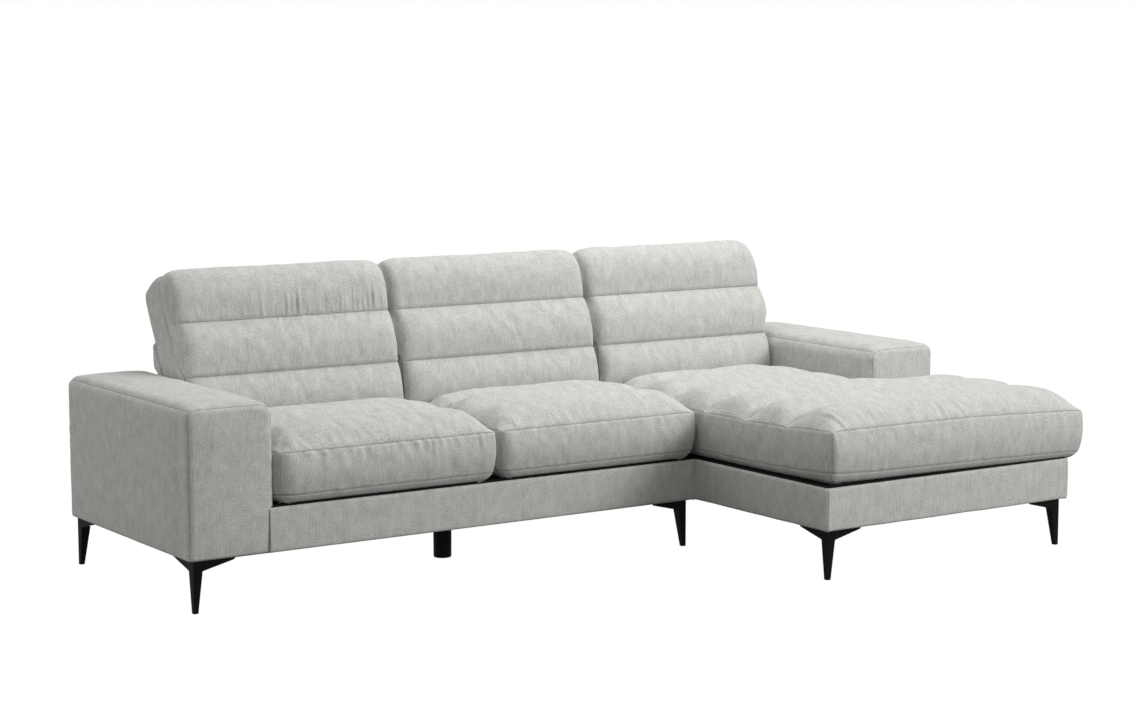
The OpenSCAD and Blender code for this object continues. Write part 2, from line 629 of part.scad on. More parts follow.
// A closed form over a grid of stations us by vs: a face, rings round the border, and a back.
// face, ring and back are functions of the stations that return points.
module quilted(us, vs, face, ring, rings, back, iu, jv) {
    nu = len(us) - 1;
    nv = len(vs) - 1;
    edge = border(nu, nv, iu, jv);
    ne = len(edge);
    grid = (nu + 1) * (nv + 1);
    function at(i, j) = i * (nv + 1) + j;
    points = concat(
        [for (i = [0:nu], j = [0:nv]) face(us[i], vs[j])],
        [for (i = [0:nu], j = [0:nv]) back(us[i], vs[j])],
        [for (k = [0:rings - 1], e = edge) ring(us[e[0]], vs[e[1]], k)]);
    // Index of border point p on level k, from the face at -1 to the back at rings
    function rim(k, p) = let (e = edge[p % ne])
        k < 0 ? at(e[0], e[1]) : k == rings ? grid + at(e[0], e[1]) : 2 * grid + k * ne + p % ne;
    cells = [for (i = [0:nu - 1], j = [0:nv - 1]) if (i < iu || j < jv)
        [at(i, j), at(i, j + 1), at(i + 1, j + 1), at(i + 1, j)]];
    polyhedron(points, concat(
        [for (c = cells) [c[0], c[1], c[2]]],
        [for (c = cells) [c[0], c[2], c[3]]],
        [for (c = cells) [grid + c[0], grid + c[2], grid + c[1]]],
        [for (c = cells) [grid + c[0], grid + c[3], grid + c[2]]],
        [for (k = [-1:rings - 1], p = [0:ne - 1]) [rim(k, p), rim(k, p + 1), rim(k + 1, p + 1)]],
        [for (k = [-1:rings - 1], p = [0:ne - 1]) [rim(k, p), rim(k + 1, p + 1), rim(k + 1, p)]]));
}
// Stations over the channels between the seams, close together at the seams
CHANNEL = [0, 0.1, 0.3, 0.5, 0.7, 0.9];
function channel_stations(seams) = concat(
    [for (c = [0:len(seams) - 2], t = CHANNEL) seams[c] + (seams[c + 1] - seams[c]) * t],
    [seams[len(seams) - 1]]);
// Rises from 0 at a border to 1 at distance r
function rise(d, r) = let (t = min(max(d / r, 0), 1)) 1 - (1 - t) * (1 - t);
// Puff of a channel at its share t of the way across
function puff(t) = pow(max(sin(180 * (t - floor(t))), 0), 0.6);

// Seat cushions

side_bulge = 7;
side_levels = [0.84, 0.6, 0.36, 0.12];
side_out = [0.8, 1, 0.5, -1];
bottom_in = 34;
corner_r = 34;
// The crown rises from the sides over this length, from front and rear over the next
crown_reach_x = 230;
crown_reach_y = 200;
puff_reach = 120;
// A seat cushion between x0..x1 and y0..y1, cut out beyond xn, yn at its right rear. It has n
// channels: the first and the ones behind it have their own lengths, and the last takes the rest.
module seat_form(x0, x1, y0, y1, xn, yn, n, first_l, channel_l, across) {
    l = x0 + side_bulge;
    r = x1 - side_bulge;
    f = y0 + side_bulge;
    b = y1 - side_bulge;
    nx = xn < x1 ? xn - side_bulge : r;
    ny = yn < y1 ? yn - side_bulge : b;
    seams = concat([f], [for (i = [0:n - 2]) f + first_l + i * channel_l], [b]);
    seam_count = [for (i = [0:n]) [seams[i], i]];
    us = concat([l], [for (i = [0:across]) l + corner_r + (nx - l - 2 * corner_r) * i / across], [nx],
        nx < r ? [nx + (r - nx) * 0.35, nx + (r - nx) * 0.75, r] : []);
    all_v = channel_stations(seams);
    vs = ny < b ? concat([for (v = all_v) if (v < ny - 12) v], [ny], [for (v = all_v) if (v > ny + 12) v])
                : all_v;
    iu = nx < r ? search(nx, us)[0] : len(us) - 1;
    jv = ny < b ? search(ny, vs)[0] : len(vs) - 1;
    // Which way the border faces at a point, across and along
    function out_x(x, y) = x == l ? -1 : x == r || (x == nx && y >= ny) ? 1 : 0;
    function out_y(x, y) = y == f ? -1 : y == b || (y == ny && x >= nx) ? 1 : 0;
    function gap_x(x, y) = min(x - l, (y > ny || (y == ny && x <= nx && ny == b) ? nx : r) - x);
    function gap_y(x, y) = min(y - f, (x > nx ? ny : b) - y);
    function notch(x, y) = ny < b ? norm([max(nx - x, 0), max(ny - y, 0)]) : 1000;
    // Round the corners in plan
    function rounded(x, y, d) = let (
        s = 0.29 * corner_r * max(0, 1 - gap_x(x, y) / corner_r) * max(0, 1 - gap_y(x, y) / corner_r),
        mx = x - l < r - x && x - l < abs(nx - x) ? 1 : -1,
        my = y - f < b - y && y - f < abs(ny - y) ? 1 : -1)
        [x + mx * s + out_x(x, y) * d, y + my * s + out_y(x, y) * d];
    function crown(x, y) = let (e = rise(gap_x(x, y), crown_reach_x) * rise(notch(x, y), crown_reach_x))
        seat_crown * e * rise(gap_y(x, y), crown_reach_y)
        + seat_puff * rise(gap_x(x, y), puff_reach) * rise(notch(x, y), puff_reach)
        * puff(lookup(y, seam_count));
    function level(x, y, d, h) = let (p = rounded(x, y, d)) [p[0], p[1], deck_top + touch + h];
    // The flat underside is drawn in evenly, so that no station folds over the next
    function drawn_in(t, a, m) = t <= m ? a + bottom_in + (t - a) * (m - a - 2 * bottom_in) / (m - a)
        : t - bottom_in;
    quilted(us, vs,
        function (x, y) level(x, y, 0, seat_side_h + crown(x, y)),
        function (x, y, k) level(x, y, side_bulge * side_out[k], seat_side_h * side_levels[k]),
        len(side_levels),
        function (x, y) [drawn_in(x, l, nx), drawn_in(y, f, ny), deck_top + touch],
        iu, jv);
}
module left_seat_cushion() color("gainsboro") placed()
    seat_form(arm_w + soft_gap / 2, mid_seat_x + soft_gap * 0.5, -seat_over, seat_depth,
              mid_seat_x + soft_gap * 0.5, seat_depth, seat_channels, seat_first_l, seat_channel_l, 6);
module middle_seat_cushion() color("gainsboro") placed()
    seat_form(mid_seat_x + soft_gap * 1.5, chaise_x - soft_gap / 2, -seat_over, seat_depth,
              chaise_x - soft_gap / 2, seat_depth, seat_channels, seat_first_l, seat_channel_l, 6);
module chaise_cushion() color("gainsboro") placed()
    seat_form(chaise_x + soft_gap / 2, base_w + chaise_side_over, chaise_y - chaise_over, seat_depth,
              right_arm_x - soft_gap, -soft_gap, chaise_channels, chaise_first_l, chaise_channel_l, 5);

// Back units

// Seam between the front pad and the side gusset, from the foot up, as distances from the foot
// of the front face: it runs up the pad, then swings back under the roll
SEAM_Z = [0, 1 / 3, 1.3 / 3, 1.7 / 3, 2 / 3, 2.3 / 3, 2.5 / 3, 1];
SEAM_Y = [0, 0.10, 0.36, 0.58, 0.72, 0.87, 0.93, 1];
seam_top_h = roll_end_h - 4;
roll_start = 62;
function seam_y(t) = back_y + back_pad_t + (roll_end_y - back_y - back_pad_t) * t;
function seam_z(t) = back_foot_h + (seam_top_h - back_foot_h) * t;
SEAM = [for (i = [0:len(SEAM_Z) - 1]) [seam_y(SEAM_Y[i]), seam_z(SEAM_Z[i])]];
// Side outline of the box behind the pad, drawn in by d
function box_outline(d) = concat(
    [for (p = SEAM) p + [d == 0 ? 0 : d + 2, 0]],
    arc([rear_roll_y, rear_roll_h], rear_roll_r - d, roll_start, -rear_lean, 8),
    [[back_end_y - d / cos(rear_lean), back_foot_h]]);
top_corner_r = 40;
// Round the top corners of a unit, seen from the front
module front_outline(x0, x1) {
    along_y(back_y - 60, depth + 60) polygon(concat([[x0, back_foot_h - 5], [x1, back_foot_h - 5]],
        arc([x1 - top_corner_r, roll_end_h - top_corner_r], top_corner_r, 0, 90),
        arc([x0 + top_corner_r, roll_end_h - top_corner_r], top_corner_r, 90, 180)));
}
// Cover of the rear: side gussets, top and outside back, open to the pad and below
module back_cover(cell) {
    x0 = cell[0] + 2;
    x1 = cell[1] - 2;
    difference() {
        intersection() {
            along_x(x0, x1) polygon(box_outline(0));
            front_outline(x0, x1);
        }
        along_x(x0 + foam_t, x1 - foam_t) polygon(concat(
            [[back_y - 50, back_foot_h - 10], [back_y - 50, roll_end_h - top_corner_r],
             [roll_end_y + 20, roll_end_h - top_corner_r]],
            arc([rear_roll_y, rear_roll_h], rear_roll_r - foam_t, roll_start, -rear_lean, 8),
            [[rear_y(back_foot_h - 10) - foam_t / cos(rear_lean), back_foot_h - 10]]));
    }
}
// Webbing straps across the front edges of the timber
strap_gap = 0.1;
pad_gap = 0.9;
module back_webbing(cell) {
    x0 = cell[0] + 2 + foam_t;
    x1 = cell[1] - 2 - foam_t;
    for (t = [[0.12, 0.24], [0.34, 0.46], [0.54, 0.66], [0.74, 0.82]]) along_x(x0, x1) polygon(
        [for (p = [[t[0], strap_t], [t[1], strap_t], [t[1], 0], [t[0], 0]])
            seam_line(3 * p[0]) + [pad_gap + foam_t + 2 - strap_gap - p[1], 0]]);
}
strap_t = 2;
// Timber inside the cover: two ply sides with three rails between them
module back_frame(cell) {
    x0 = cell[0] + 2 + foam_t;
    x1 = cell[1] - 2 - foam_t;
    for (x = [x0, x1 - ply_t]) difference() {
        intersection() {
            along_x(x, x + ply_t) polygon(box_outline(foam_t));
            block([x, back_y, back_foot_h],
                  [x + ply_t, depth, rear_roll_h + (rear_roll_r - foam_t) * sin(roll_start)]);
        }
        translate([x - 1, 0, 0]) arm_screw_holes(ply_t + 2);
    }
    for (h = [pin_h + arm_blade_h + 6, seam_1_h, seam_2_h + 40]) {
        y = seam_at(h + ply_t) + foam_t + 6;
        block([x0 + ply_t, y, h], [x1 - ply_t, y + 50, h + ply_t]);
    }
}
// The top roll as a smooth curve: its foot, how it leaves along the lean, how it comes down, its end
ROLL = [[seam_2_y, seam_2_h], [seam_2_y, seam_2_h] + roll_reach * [sin(front_lean), cos(front_lean)],
        [roll_end_y - roll_flat, roll_end_h + roll_rise], [roll_end_y, roll_end_h]];
function roll_at(t) = pow(1 - t, 3) * ROLL[0] + 3 * t * pow(1 - t, 2) * ROLL[1]
    + 3 * t * t * (1 - t) * ROLL[2] + pow(t, 3) * ROLL[3];
function roll_way(t) = pow(1 - t, 2) * (ROLL[1] - ROLL[0]) + 2 * t * (1 - t) * (ROLL[2] - ROLL[1])
    + t * t * (ROLL[3] - ROLL[2]);
// Front face of the pad without its puff: two flat channels, then the roll over the top
function face_line(v) = v <= 1 ? [back_y, back_foot_h] + v * low_channel_h * [tan(foot_lean), 1]
    : v <= 2 ? [seam_1_y, seam_1_h] + (v - 1) * mid_channel_h * [tan(front_lean), 1]
    : roll_at(v - 2);
function face_out(v) = let (w = roll_way(max(v - 2, 0))) [-w[1], w[0]] / norm(w);
// Back of the pad, along the seam with the gusset
function seam_line(v) = let (t = v / 3, z = SEAM_Z)
    [seam_y(lookup(t, [for (i = [0:len(z) - 1]) [z[i], SEAM_Y[i]]])) - pad_gap, seam_z(t)];
function seam_at(h) = seam_line(3 * (h - back_foot_h) / (seam_top_h - back_foot_h))[0];
pad_in = 12;
side_draw = 9;
module back_pad(cell) {
    l = cell[0];
    r = cell[1];
    across = 7;
    us = concat([l], [for (i = [0:across]) l + 46 + (r - l - 92) * i / across], [r]);
    vs = concat([for (c = [0:2], t = CHANNEL) c + t], [3]);
    function side(x) = x == l ? 1 : x == r ? -1 : 0;
    // The face is drawn in at the sides, more so towards the top corners, and back at the seams
    function in_x(v) = pad_in + (top_corner_r - pad_in) * pow(max(0, (v - 1.8) / 1.2), 3);
    quilted(us, vs,
        function (x, v) let (d = min(x - l, r - x),
            bulge = (v < 1 ? foot_puff : back_puff) * (0.3 + 0.7 * rise(d, 90)) * puff(v),
            p = face_line(v) + face_out(v) * (bulge
                - side_draw * (1 - rise(d, 60)) * (1 - puff(v)) * sin(60 * v)))
            [x + side(x) * in_x(v), p[0], p[1]],
        function (x, v, k) let (w = [0.3, 0.65][k], p = face_line(v) * (1 - w) + seam_line(v) * w)
            [x + side(x) * ([2, 0][k] + in_x(v) - pad_in), p[0], p[1]],
        2,
        function (x, v) let (p = seam_line(v)) [x + side(x) * (3 + in_x(v) - pad_in), p[0], p[1]],
        len(us) - 1, len(vs) - 1);
}

// Ratchet hinges

hinge_in = foam_t + 2 + ply_t;
plate_gap = 0.5;
root_r = ratchet_r - tooth_h;
arm_blade_h = 88;
ARM_SCREWS = arm_blade_h / 22 * [[1, 13], [5, 16], [8.5, 19]];
ARM_BLADE = arm_blade_h / 22 * [[8.5, 10], [11.5, 22], [-2, 22]];
module arm_screw_holes(l) {
    for (s = ARM_SCREWS) translate([0, pin_y + s[0], pin_h + s[1]])
        rotate([0, 90, 0]) cylinder(d = 5, h = l, $fn = 24);
}
// Toothed arm: fine saw teeth round its lower rear, and a blade screwed to the ply side
TEETH_A = [268, 348];
module hinge_arm(x) {
    n = floor((TEETH_A[1] - TEETH_A[0]) / ratchet_step);
    difference() {
        along_x(x, x + hinge_t) translate([pin_y, pin_h]) polygon(concat(
            arc([0, 0], root_r, 170, TEETH_A[0] - ratchet_step, 8),
            [for (i = [0:n - 1], tip = [0, 1])
                let (a = TEETH_A[0] + ratchet_step * (i + tip * 0.25), r = tip == 0 ? root_r : ratchet_r)
                r * [cos(a), sin(a)]],
            [[root_r, 0]], ARM_BLADE));
        translate([x - 1, pin_y, pin_h]) rotate([0, 90, 0])
            cylinder(d = pin_d + 2 * running_gap, h = hinge_t + 2, $fn = 48);
        translate([x - 1, 0, 0]) arm_screw_holes(hinge_t + 2);
    }
}
// Fixed bracket: a foot on the hinge beam and an upright plate that holds pin and pawl
PAWL = [40, -13];
pawl_pin_d = 5;
bracket_foot = 30;
BRACKET_SCREWS = [[-14, 16], [14, 22]];
module hinge_bracket(x) {
    difference() {
        union() {
            along_x(x, x + hinge_t) translate([pin_y, pin_h]) polygon([
                [-beam_w / 2, beam_top - pin_h], [beam_w / 2, beam_top - pin_h], [bracket_reach, -24],
                [bracket_reach, -2],
                [36, 8], [12, 14], [-12, 14], [-beam_w / 2, 2]]);
            block([x, beam_y, beam_top], [x + bracket_foot, beam_y + beam_w, beam_top + 3]);
        }
        translate([x - 1, pin_y, pin_h]) rotate([0, 90, 0]) cylinder(d = pin_d, h = hinge_t + 2, $fn = 48);
        translate([x - 1, pin_y + PAWL[0], pin_h + PAWL[1]]) rotate([0, 90, 0])
            cylinder(d = pawl_pin_d, h = hinge_t + 2, $fn = 32);
        for (s = BRACKET_SCREWS) translate([x + s[1], pin_y + s[0], beam_top - 1])
            cylinder(d = 5, h = 5, $fn = 24);
    }
}
// Pawl: a lever whose nose rides on the tooth tips, on a pin through the bracket's plate
pawl_lift = 0.4;
module hinge_pawl(x) {
    nose = ratchet_r + pawl_lift;
    difference() {
        along_x(x, x + hinge_t) translate([pin_y, pin_h]) polygon(concat(
            [nose * [cos(-8), sin(-8)], (nose + 1) * [cos(-13), sin(-13)]],
            arc(PAWL, 5.5, 200, 400, 8)));
        translate([x - 1, pin_y + PAWL[0], pin_h + PAWL[1]]) rotate([0, 90, 0])
            cylinder(d = pawl_pin_d, h = hinge_t + 2, $fn = 32);
    }
}
// Draws the left hinge of a unit and its mirror image at the right
module hinge_pair(cell) {
    children();
    flip_x((cell[0] + cell[1]) / 2) children();
}
module hinge_brackets() color("silver") placed()
    for (cell = BACKS) hinge_pair(cell) hinge_bracket(cell[0] + hinge_in + hinge_t + plate_gap);
module hinge_pawls() color("gray") placed()
    for (cell = BACKS) hinge_pair(cell) hinge_pawl(cell[0] + hinge_in);
// A headed pin along X, with its head before x
module headed_pin(x, y, h, d, l, head_d, head_l) {
    translate([x, y, h]) rotate([0, 90, 0]) {
        cylinder(d = d, h = l, $fn = 48);
        translate([0, 0, -head_l]) cylinder(d = head_d, h = head_l, $fn = 48);
    }
}
module hinge_pins() color("dimgray") placed() for (cell = BACKS) hinge_pair(cell) {
    x = cell[0] + hinge_in;
    l = 2 * hinge_t + plate_gap;
    headed_pin(x - touch, pin_y, pin_h, pin_d, l + 3, pin_d + 6, 3);
    headed_pin(x - touch, pin_y + PAWL[0], pin_h + PAWL[1], pawl_pin_d, l + 2, pawl_pin_d + 3, 2);
}
// Screws of the hinges' feet, down into the beams
module hinge_screws() color("dimgray") placed() for (cell = BACKS) hinge_pair(cell)
    for (s = BRACKET_SCREWS)
        translate([cell[0] + hinge_in + hinge_t + plate_gap + s[1], pin_y + s[0], beam_top + 3]) {
            translate([0, 0, -3]) cylinder(d = 5, h = 3, $fn = 24);
            cylinder(d1 = 9, d2 = 6, h = 3, $fn = 24);
        }

module left_back_pad() color("gainsboro") placed() back_pad(BACKS[0]);
module middle_back_pad() color("gainsboro") placed() back_pad(BACKS[1]);
module right_back_pad() color("gainsboro") placed() back_pad(BACKS[2]);
module left_back_cover() color("silver") placed() back_cover(BACKS[0]);
module middle_back_cover() color("silver") placed() back_cover(BACKS[1]);
module right_back_cover() color("silver") placed() back_cover(BACKS[2]);
module left_back_frame() color("burlywood") placed() back_frame(BACKS[0]);
module middle_back_frame() color("burlywood") placed() back_frame(BACKS[1]);
module right_back_frame() color("burlywood") placed() back_frame(BACKS[2]);
module left_back_webbing() color("saddlebrown") placed() back_webbing(BACKS[0]);
module middle_back_webbing() color("saddlebrown") placed() back_webbing(BACKS[1]);
module right_back_webbing() color("saddlebrown") placed() back_webbing(BACKS[2]);
module back_arms(cell) { hinge_pair(cell) hinge_arm(cell[0] + hinge_in); }
module left_back_arms() color("gray") placed() back_arms(BACKS[0]);
module middle_back_arms() color("gray") placed() back_arms(BACKS[1]);
module right_back_arms() color("gray") placed() back_arms(BACKS[2]);

// The hinge pins' place, front to rear and upwards, from the origin
echo("pin at", pin_y - centre[1], pin_h - centre[2]);

sofa_front_rail();
sofa_rear_rail();
sofa_side_rails();
sofa_spring_rail();
chaise_front_rail();
chaise_rear_rail();
chaise_side_rails();
chaise_step_rail();
cross_rails();
corner_blocks();
back_ribs();
hinge_beams();
sofa_springs();
chaise_springs();
spring_clips();
sofa_deck_cloth();
chaise_deck_cloth();
sofa_dust_cloth();
chaise_dust_cloth();
sofa_front_cover();
sofa_end_cover();
sofa_rear_cover();
chaise_front_cover();
chaise_left_cover();
chaise_right_cover();
chaise_rear_cover();
left_arm_frame();
right_arm_frame();
left_arm_cover();
right_arm_cover();
frame_bolts();
sofa_bolster();
chaise_bolster();
sofa_legs();
chaise_legs();
leg_glides();
leg_screws();
support_leg();
left_seat_cushion();
middle_seat_cushion();
chaise_cushion();
hinge_brackets();
hinge_pawls();
hinge_pins();
hinge_screws();
left_back_pad();
left_back_cover();
left_back_frame();
left_back_webbing();
left_back_arms();
middle_back_pad();
middle_back_cover();
middle_back_frame();
middle_back_webbing();
middle_back_arms();
right_back_pad();
right_back_cover();
right_back_frame();
right_back_webbing();
right_back_arms();
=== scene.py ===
import math
import bpy
import bmesh
import numpy as np
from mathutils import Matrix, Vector


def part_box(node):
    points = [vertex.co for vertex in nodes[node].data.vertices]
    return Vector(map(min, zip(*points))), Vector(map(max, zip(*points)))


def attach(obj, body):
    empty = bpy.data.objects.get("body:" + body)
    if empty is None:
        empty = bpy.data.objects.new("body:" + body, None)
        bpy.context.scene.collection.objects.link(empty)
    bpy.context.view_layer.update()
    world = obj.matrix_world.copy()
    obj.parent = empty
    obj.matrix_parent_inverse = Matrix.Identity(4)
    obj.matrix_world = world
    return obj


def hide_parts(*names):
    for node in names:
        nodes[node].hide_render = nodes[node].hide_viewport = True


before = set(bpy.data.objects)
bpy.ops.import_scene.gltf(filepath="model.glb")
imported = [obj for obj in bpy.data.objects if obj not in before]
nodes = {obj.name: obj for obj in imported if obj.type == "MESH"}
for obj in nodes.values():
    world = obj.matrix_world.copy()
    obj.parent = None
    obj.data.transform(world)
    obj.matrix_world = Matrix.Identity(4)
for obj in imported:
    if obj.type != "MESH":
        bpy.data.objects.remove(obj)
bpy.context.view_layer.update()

scene = bpy.context.scene

# Camera and studio
# The camera stands left of the arm, at standing height, and looks slightly down. Its place was solved
# from the corners of the arms, base and feet. The floor and the room are plain and pale.
camera = bpy.data.objects.new("camera", bpy.data.cameras.new("camera"))
camera.data.sensor_width = 36
camera.data.lens = 75.98
camera.location = (-4.1788, -6.0941, 1.5308)
look_down, look_right = 0.1234, 0.5939
camera.rotation_euler = (math.pi / 2 - look_down, 0, -look_right)
scene.collection.objects.link(camera)
scene.camera = camera
scene.view_settings.view_transform = "Standard"


def wire(tree, kind, inputs=None, **settings):
    """Adds a node, sets what it is told and links or fills its sockets"""
    node = tree.nodes.new(kind)
    for name, value in settings.items():
        setattr(node, name, value)
    for name, value in (inputs or {}).items():
        if isinstance(value, bpy.types.NodeSocket):
            tree.links.new(value, node.inputs[name])
        else:
            node.inputs[name].default_value = value
    return node


def seen_ray(tree):
    """1 for rays from the camera and for reflections"""
    rays = wire(tree, "ShaderNodeLightPath")
    direct, mirrored = rays.outputs["Is Camera Ray"], rays.outputs["Is Glossy Ray"]
    return wire(tree, "ShaderNodeMath", {0: direct, 1: mirrored}, operation="MAXIMUM").outputs[0]


room = bpy.data.worlds.new("studio")
scene.world = room
room.use_nodes = True
air = room.node_tree
air.nodes.clear()
white = (1, 1, 1, 1)
sky_colour, sky_strength = (1.0, 0.985, 0.955, 1), 0.48
daylight = wire(air, "ShaderNodeBackground", {"Color": sky_colour, "Strength": sky_strength})
backdrop = wire(air, "ShaderNodeBackground", {"Color": white, "Strength": 1.0})
either = wire(air, "ShaderNodeMixShader", {0: seen_ray(air), 1: daylight.outputs[0], 2: backdrop.outputs[0]})
wire(air, "ShaderNodeOutputWorld", {"Surface": either.outputs[0]})


def softbox(name, place, target, size, watts):
    """A rectangular studio lamp that faces its target"""
    lamp = bpy.data.lights.new(name, "AREA")
    lamp.shape = "RECTANGLE"
    lamp.size, lamp.size_y = size
    lamp.energy = watts
    box = bpy.data.objects.new(name, lamp)
    box.location = place
    box.rotation_euler = (Vector(target) - Vector(place)).to_track_quat("-Z", "Y").to_euler()
    scene.collection.objects.link(box)


softbox("overhead", (0.7, 0.4, 3.3), (0.4, 0.2, 0.4), (2.6, 1.6), 54)
softbox("window", (4.4, -7.0, 3.9), (0.2, 0, 0.4), (3.4, 2.2), 455)
softbox("side", (-5.0, 1.6, 1.8), (-1.0, 0.2, 0.5), (2.5, 2.0), 42)

floor_side = 60
bpy.ops.mesh.primitive_plane_add(size=floor_side, location=(0, 0, 0))
floor = bpy.context.object
floor.name = "studio_floor"
paper = bpy.data.materials.new("studio paper")
floor.data.materials.append(paper)
paper.use_nodes = True
sheet = paper.node_tree
sheet.nodes.clear()
# To the camera the paper mostly glows white and keeps a soft shadow, to other rays it is matt and dark
glow_share, glow_strength, matt_grey = 0.90, 1.11, (0.12, 0.12, 0.12, 1)
lit = wire(sheet, "ShaderNodeMath", {0: seen_ray(sheet), 1: glow_share}, operation="MULTIPLY")
matt = wire(sheet, "ShaderNodeBsdfDiffuse", {"Color": matt_grey})
glow = wire(sheet, "ShaderNodeEmission", {"Color": white, "Strength": glow_strength})
both = wire(sheet, "ShaderNodeMixShader", {0: lit.outputs[0], 1: matt.outputs[0], 2: glow.outputs[0]})
wire(sheet, "ShaderNodeOutputMaterial", {"Surface": both.outputs[0]})


# Timber frames
# Rails, blocks and arm frames are sawn pine, ribs and the back units' sides are plywood. Boards are
# glued and screwed. The grain runs along each board's length, in bent rings with fine pores.
def new_group(name, sockets, tree_kind="ShaderNodeTree"):
    """A node group with its sockets: (direction, name, kind, value)"""
    group = bpy.data.node_groups.new(name, tree_kind)
    for way, label, kind, value in sockets:
        socket = group.interface.new_socket(label, in_out=way, socket_type="NodeSocket" + kind)
        if value is not None:
            socket.default_value = value
    return group


def finish_material(name, group, inputs, rough, metal=0.0, bump=(0.3, 0.001), **sockets):
    """A material from a group that gives Colour, Rough and Height over Object coordinates"""
    material = bpy.data.materials.new(name)
    material.use_nodes = True
    tree = material.node_tree
    tree.nodes.clear()
    spot = wire(tree, "ShaderNodeTexCoord").outputs["Object"]
    looks = wire(tree, "ShaderNodeGroup", node_tree=group)
    tree.links.new(spot, looks.inputs["Place"])
    for label, value in inputs.items():
        looks.inputs[label].default_value = value
    spread = wire(tree, "ShaderNodeMapRange", {0: looks.outputs["Rough"], 3: rough[0], 4: rough[1]})
    relief = wire(tree, "ShaderNodeBump", {"Height": looks.outputs["Height"], "Strength": bump[0],
                                           "Distance": bump[1]})
    skin = wire(tree, "ShaderNodeBsdfPrincipled", {
        "Base Color": looks.outputs["Colour"], "Roughness": spread.outputs[0], "Metallic": metal,
        "Normal": relief.outputs[0]})
    for label, value in sockets.items():
        skin.inputs[label.replace("_", " ")].default_value = value
    wire(tree, "ShaderNodeOutputMaterial", {"Surface": skin.outputs[0]})
    return material


LOOKS = [("INPUT", "Place", "Vector", None), ("INPUT", "Pale", "Color", (0.8, 0.8, 0.8, 1)),
         ("INPUT", "Deep", "Color", (0.4, 0.4, 0.4, 1)), ("INPUT", "Scale", "Float", 1.0),
         ("INPUT", "Stretch", "Vector", (1, 1, 1)),
         ("OUTPUT", "Colour", "Color", None), ("OUTPUT", "Rough", "Float", None),
         ("OUTPUT", "Height", "Float", None)]


def start_group(name):
    """A looks group and its place, stretched and scaled"""
    group = new_group(name, LOOKS)
    given = wire(group, "NodeGroupInput")
    laid = wire(group, "ShaderNodeVectorMath", {0: given.outputs["Place"], 1: given.outputs["Stretch"]},
                operation="MULTIPLY")
    sized = wire(group, "ShaderNodeVectorMath", {0: laid.outputs[0]}, operation="SCALE")
    group.links.new(given.outputs["Scale"], sized.inputs["Scale"])
    return group, given, sized.outputs[0]


def noise(tree, place, scale, detail=3.0, rough=0.55):
    """Cloudy noise from 0 to 1"""
    return wire(tree, "ShaderNodeTexNoise", {"Vector": place, "Scale": scale, "Detail": detail,
                                             "Roughness": rough}).outputs["Fac"]


def mixed(tree, a, b, share):
    """a and b blended by a fixed share of b"""
    return wire(tree, "ShaderNodeMix", {0: share, 2: a, 3: b}, data_type="FLOAT").outputs[0]


def between(tree, value, low, high, floor_v=0.0, top_v=1.0):
    """The value's place between low and high, spread from floor_v to top_v"""
    return wire(tree, "ShaderNodeMapRange", {0: value, 1: low, 2: high, 3: floor_v, 4: top_v}).outputs[0]


def tinted(tree, value, deep, pale):
    """A colour between deep, at 0, and pale, at 1"""
    return wire(tree, "ShaderNodeMix", {0: value, 6: deep, 7: pale}, data_type="RGBA").outputs[2]


def close_group(group, colour, rough, height):
    """Feeds the group's three outputs"""
    wire(group, "NodeGroupOutput", {"Colour": colour, "Rough": rough, "Height": height})
    return group


def timber_group():
    """Sawn timber: growth rings cut lengthwise, with pores"""
    bend_scale, bend_by, ring_scale, ring_waver, pore_scale = 2.2, (0.35, 0.35, 0.35), 7.0, 5.5, 160.0
    group, given, place = start_group("timber")
    slow = noise(group, place, bend_scale, 2.0)
    bend = wire(group, "ShaderNodeVectorMath", {0: slow, 1: bend_by}, operation="MULTIPLY")
    bent = wire(group, "ShaderNodeVectorMath", {0: place, 1: bend.outputs[0]}, operation="ADD").outputs[0]
    rings = wire(group, "ShaderNodeTexWave", {
        "Vector": bent, "Scale": ring_scale, "Distortion": ring_waver, "Detail": 3.0, "Detail Scale": 1.6},
        bands_direction="Z").outputs["Fac"]
    pores = noise(group, place, pore_scale, 3.0)
    tone = mixed(group, rings, pores, 0.35)
    return close_group(group, tinted(group, tone, given.outputs["Deep"], given.outputs["Pale"]),
                       pores, mixed(group, rings, pores, 0.6))


timber = timber_group()
# Boards run across the sofa or from front to back, and their grain is long that way
pine = {way: finish_material("sawn pine " + way, timber, {
    "Pale": (0.72, 0.52, 0.30, 1), "Deep": (0.50, 0.30, 0.14, 1), "Stretch": stretch}, (0.62, 0.86))
    for way, stretch in (("across", (0.10, 1.3, 1.9)), ("deep", (1.3, 0.10, 1.9)))}
plywood = finish_material("raw plywood", timber, {
    "Pale": (0.66, 0.48, 0.29, 1), "Deep": (0.50, 0.34, 0.19, 1), "Stretch": (3.0, 0.9, 0.14)}, (0.66, 0.88))


def give(material, *names):
    """Puts a material on CAD nodes"""
    for name in names:
        slots = nodes[name].material_slots
        for part in slots:
            part.material = material
        if not slots:
            nodes[name].data.materials.append(material)


unit_sides = ("left", "middle", "right")
give(pine["across"], "sofa_front_rail", "sofa_rear_rail", "chaise_front_rail", "chaise_rear_rail",
     "chaise_step_rail", "sofa_spring_rail", "hinge_beams", "corner_blocks")
give(pine["deep"], "sofa_side_rails", "chaise_side_rails", "cross_rails", "left_arm_frame", "right_arm_frame")
give(plywood, "back_ribs", *[side + "_back_frame" for side in unit_sides])


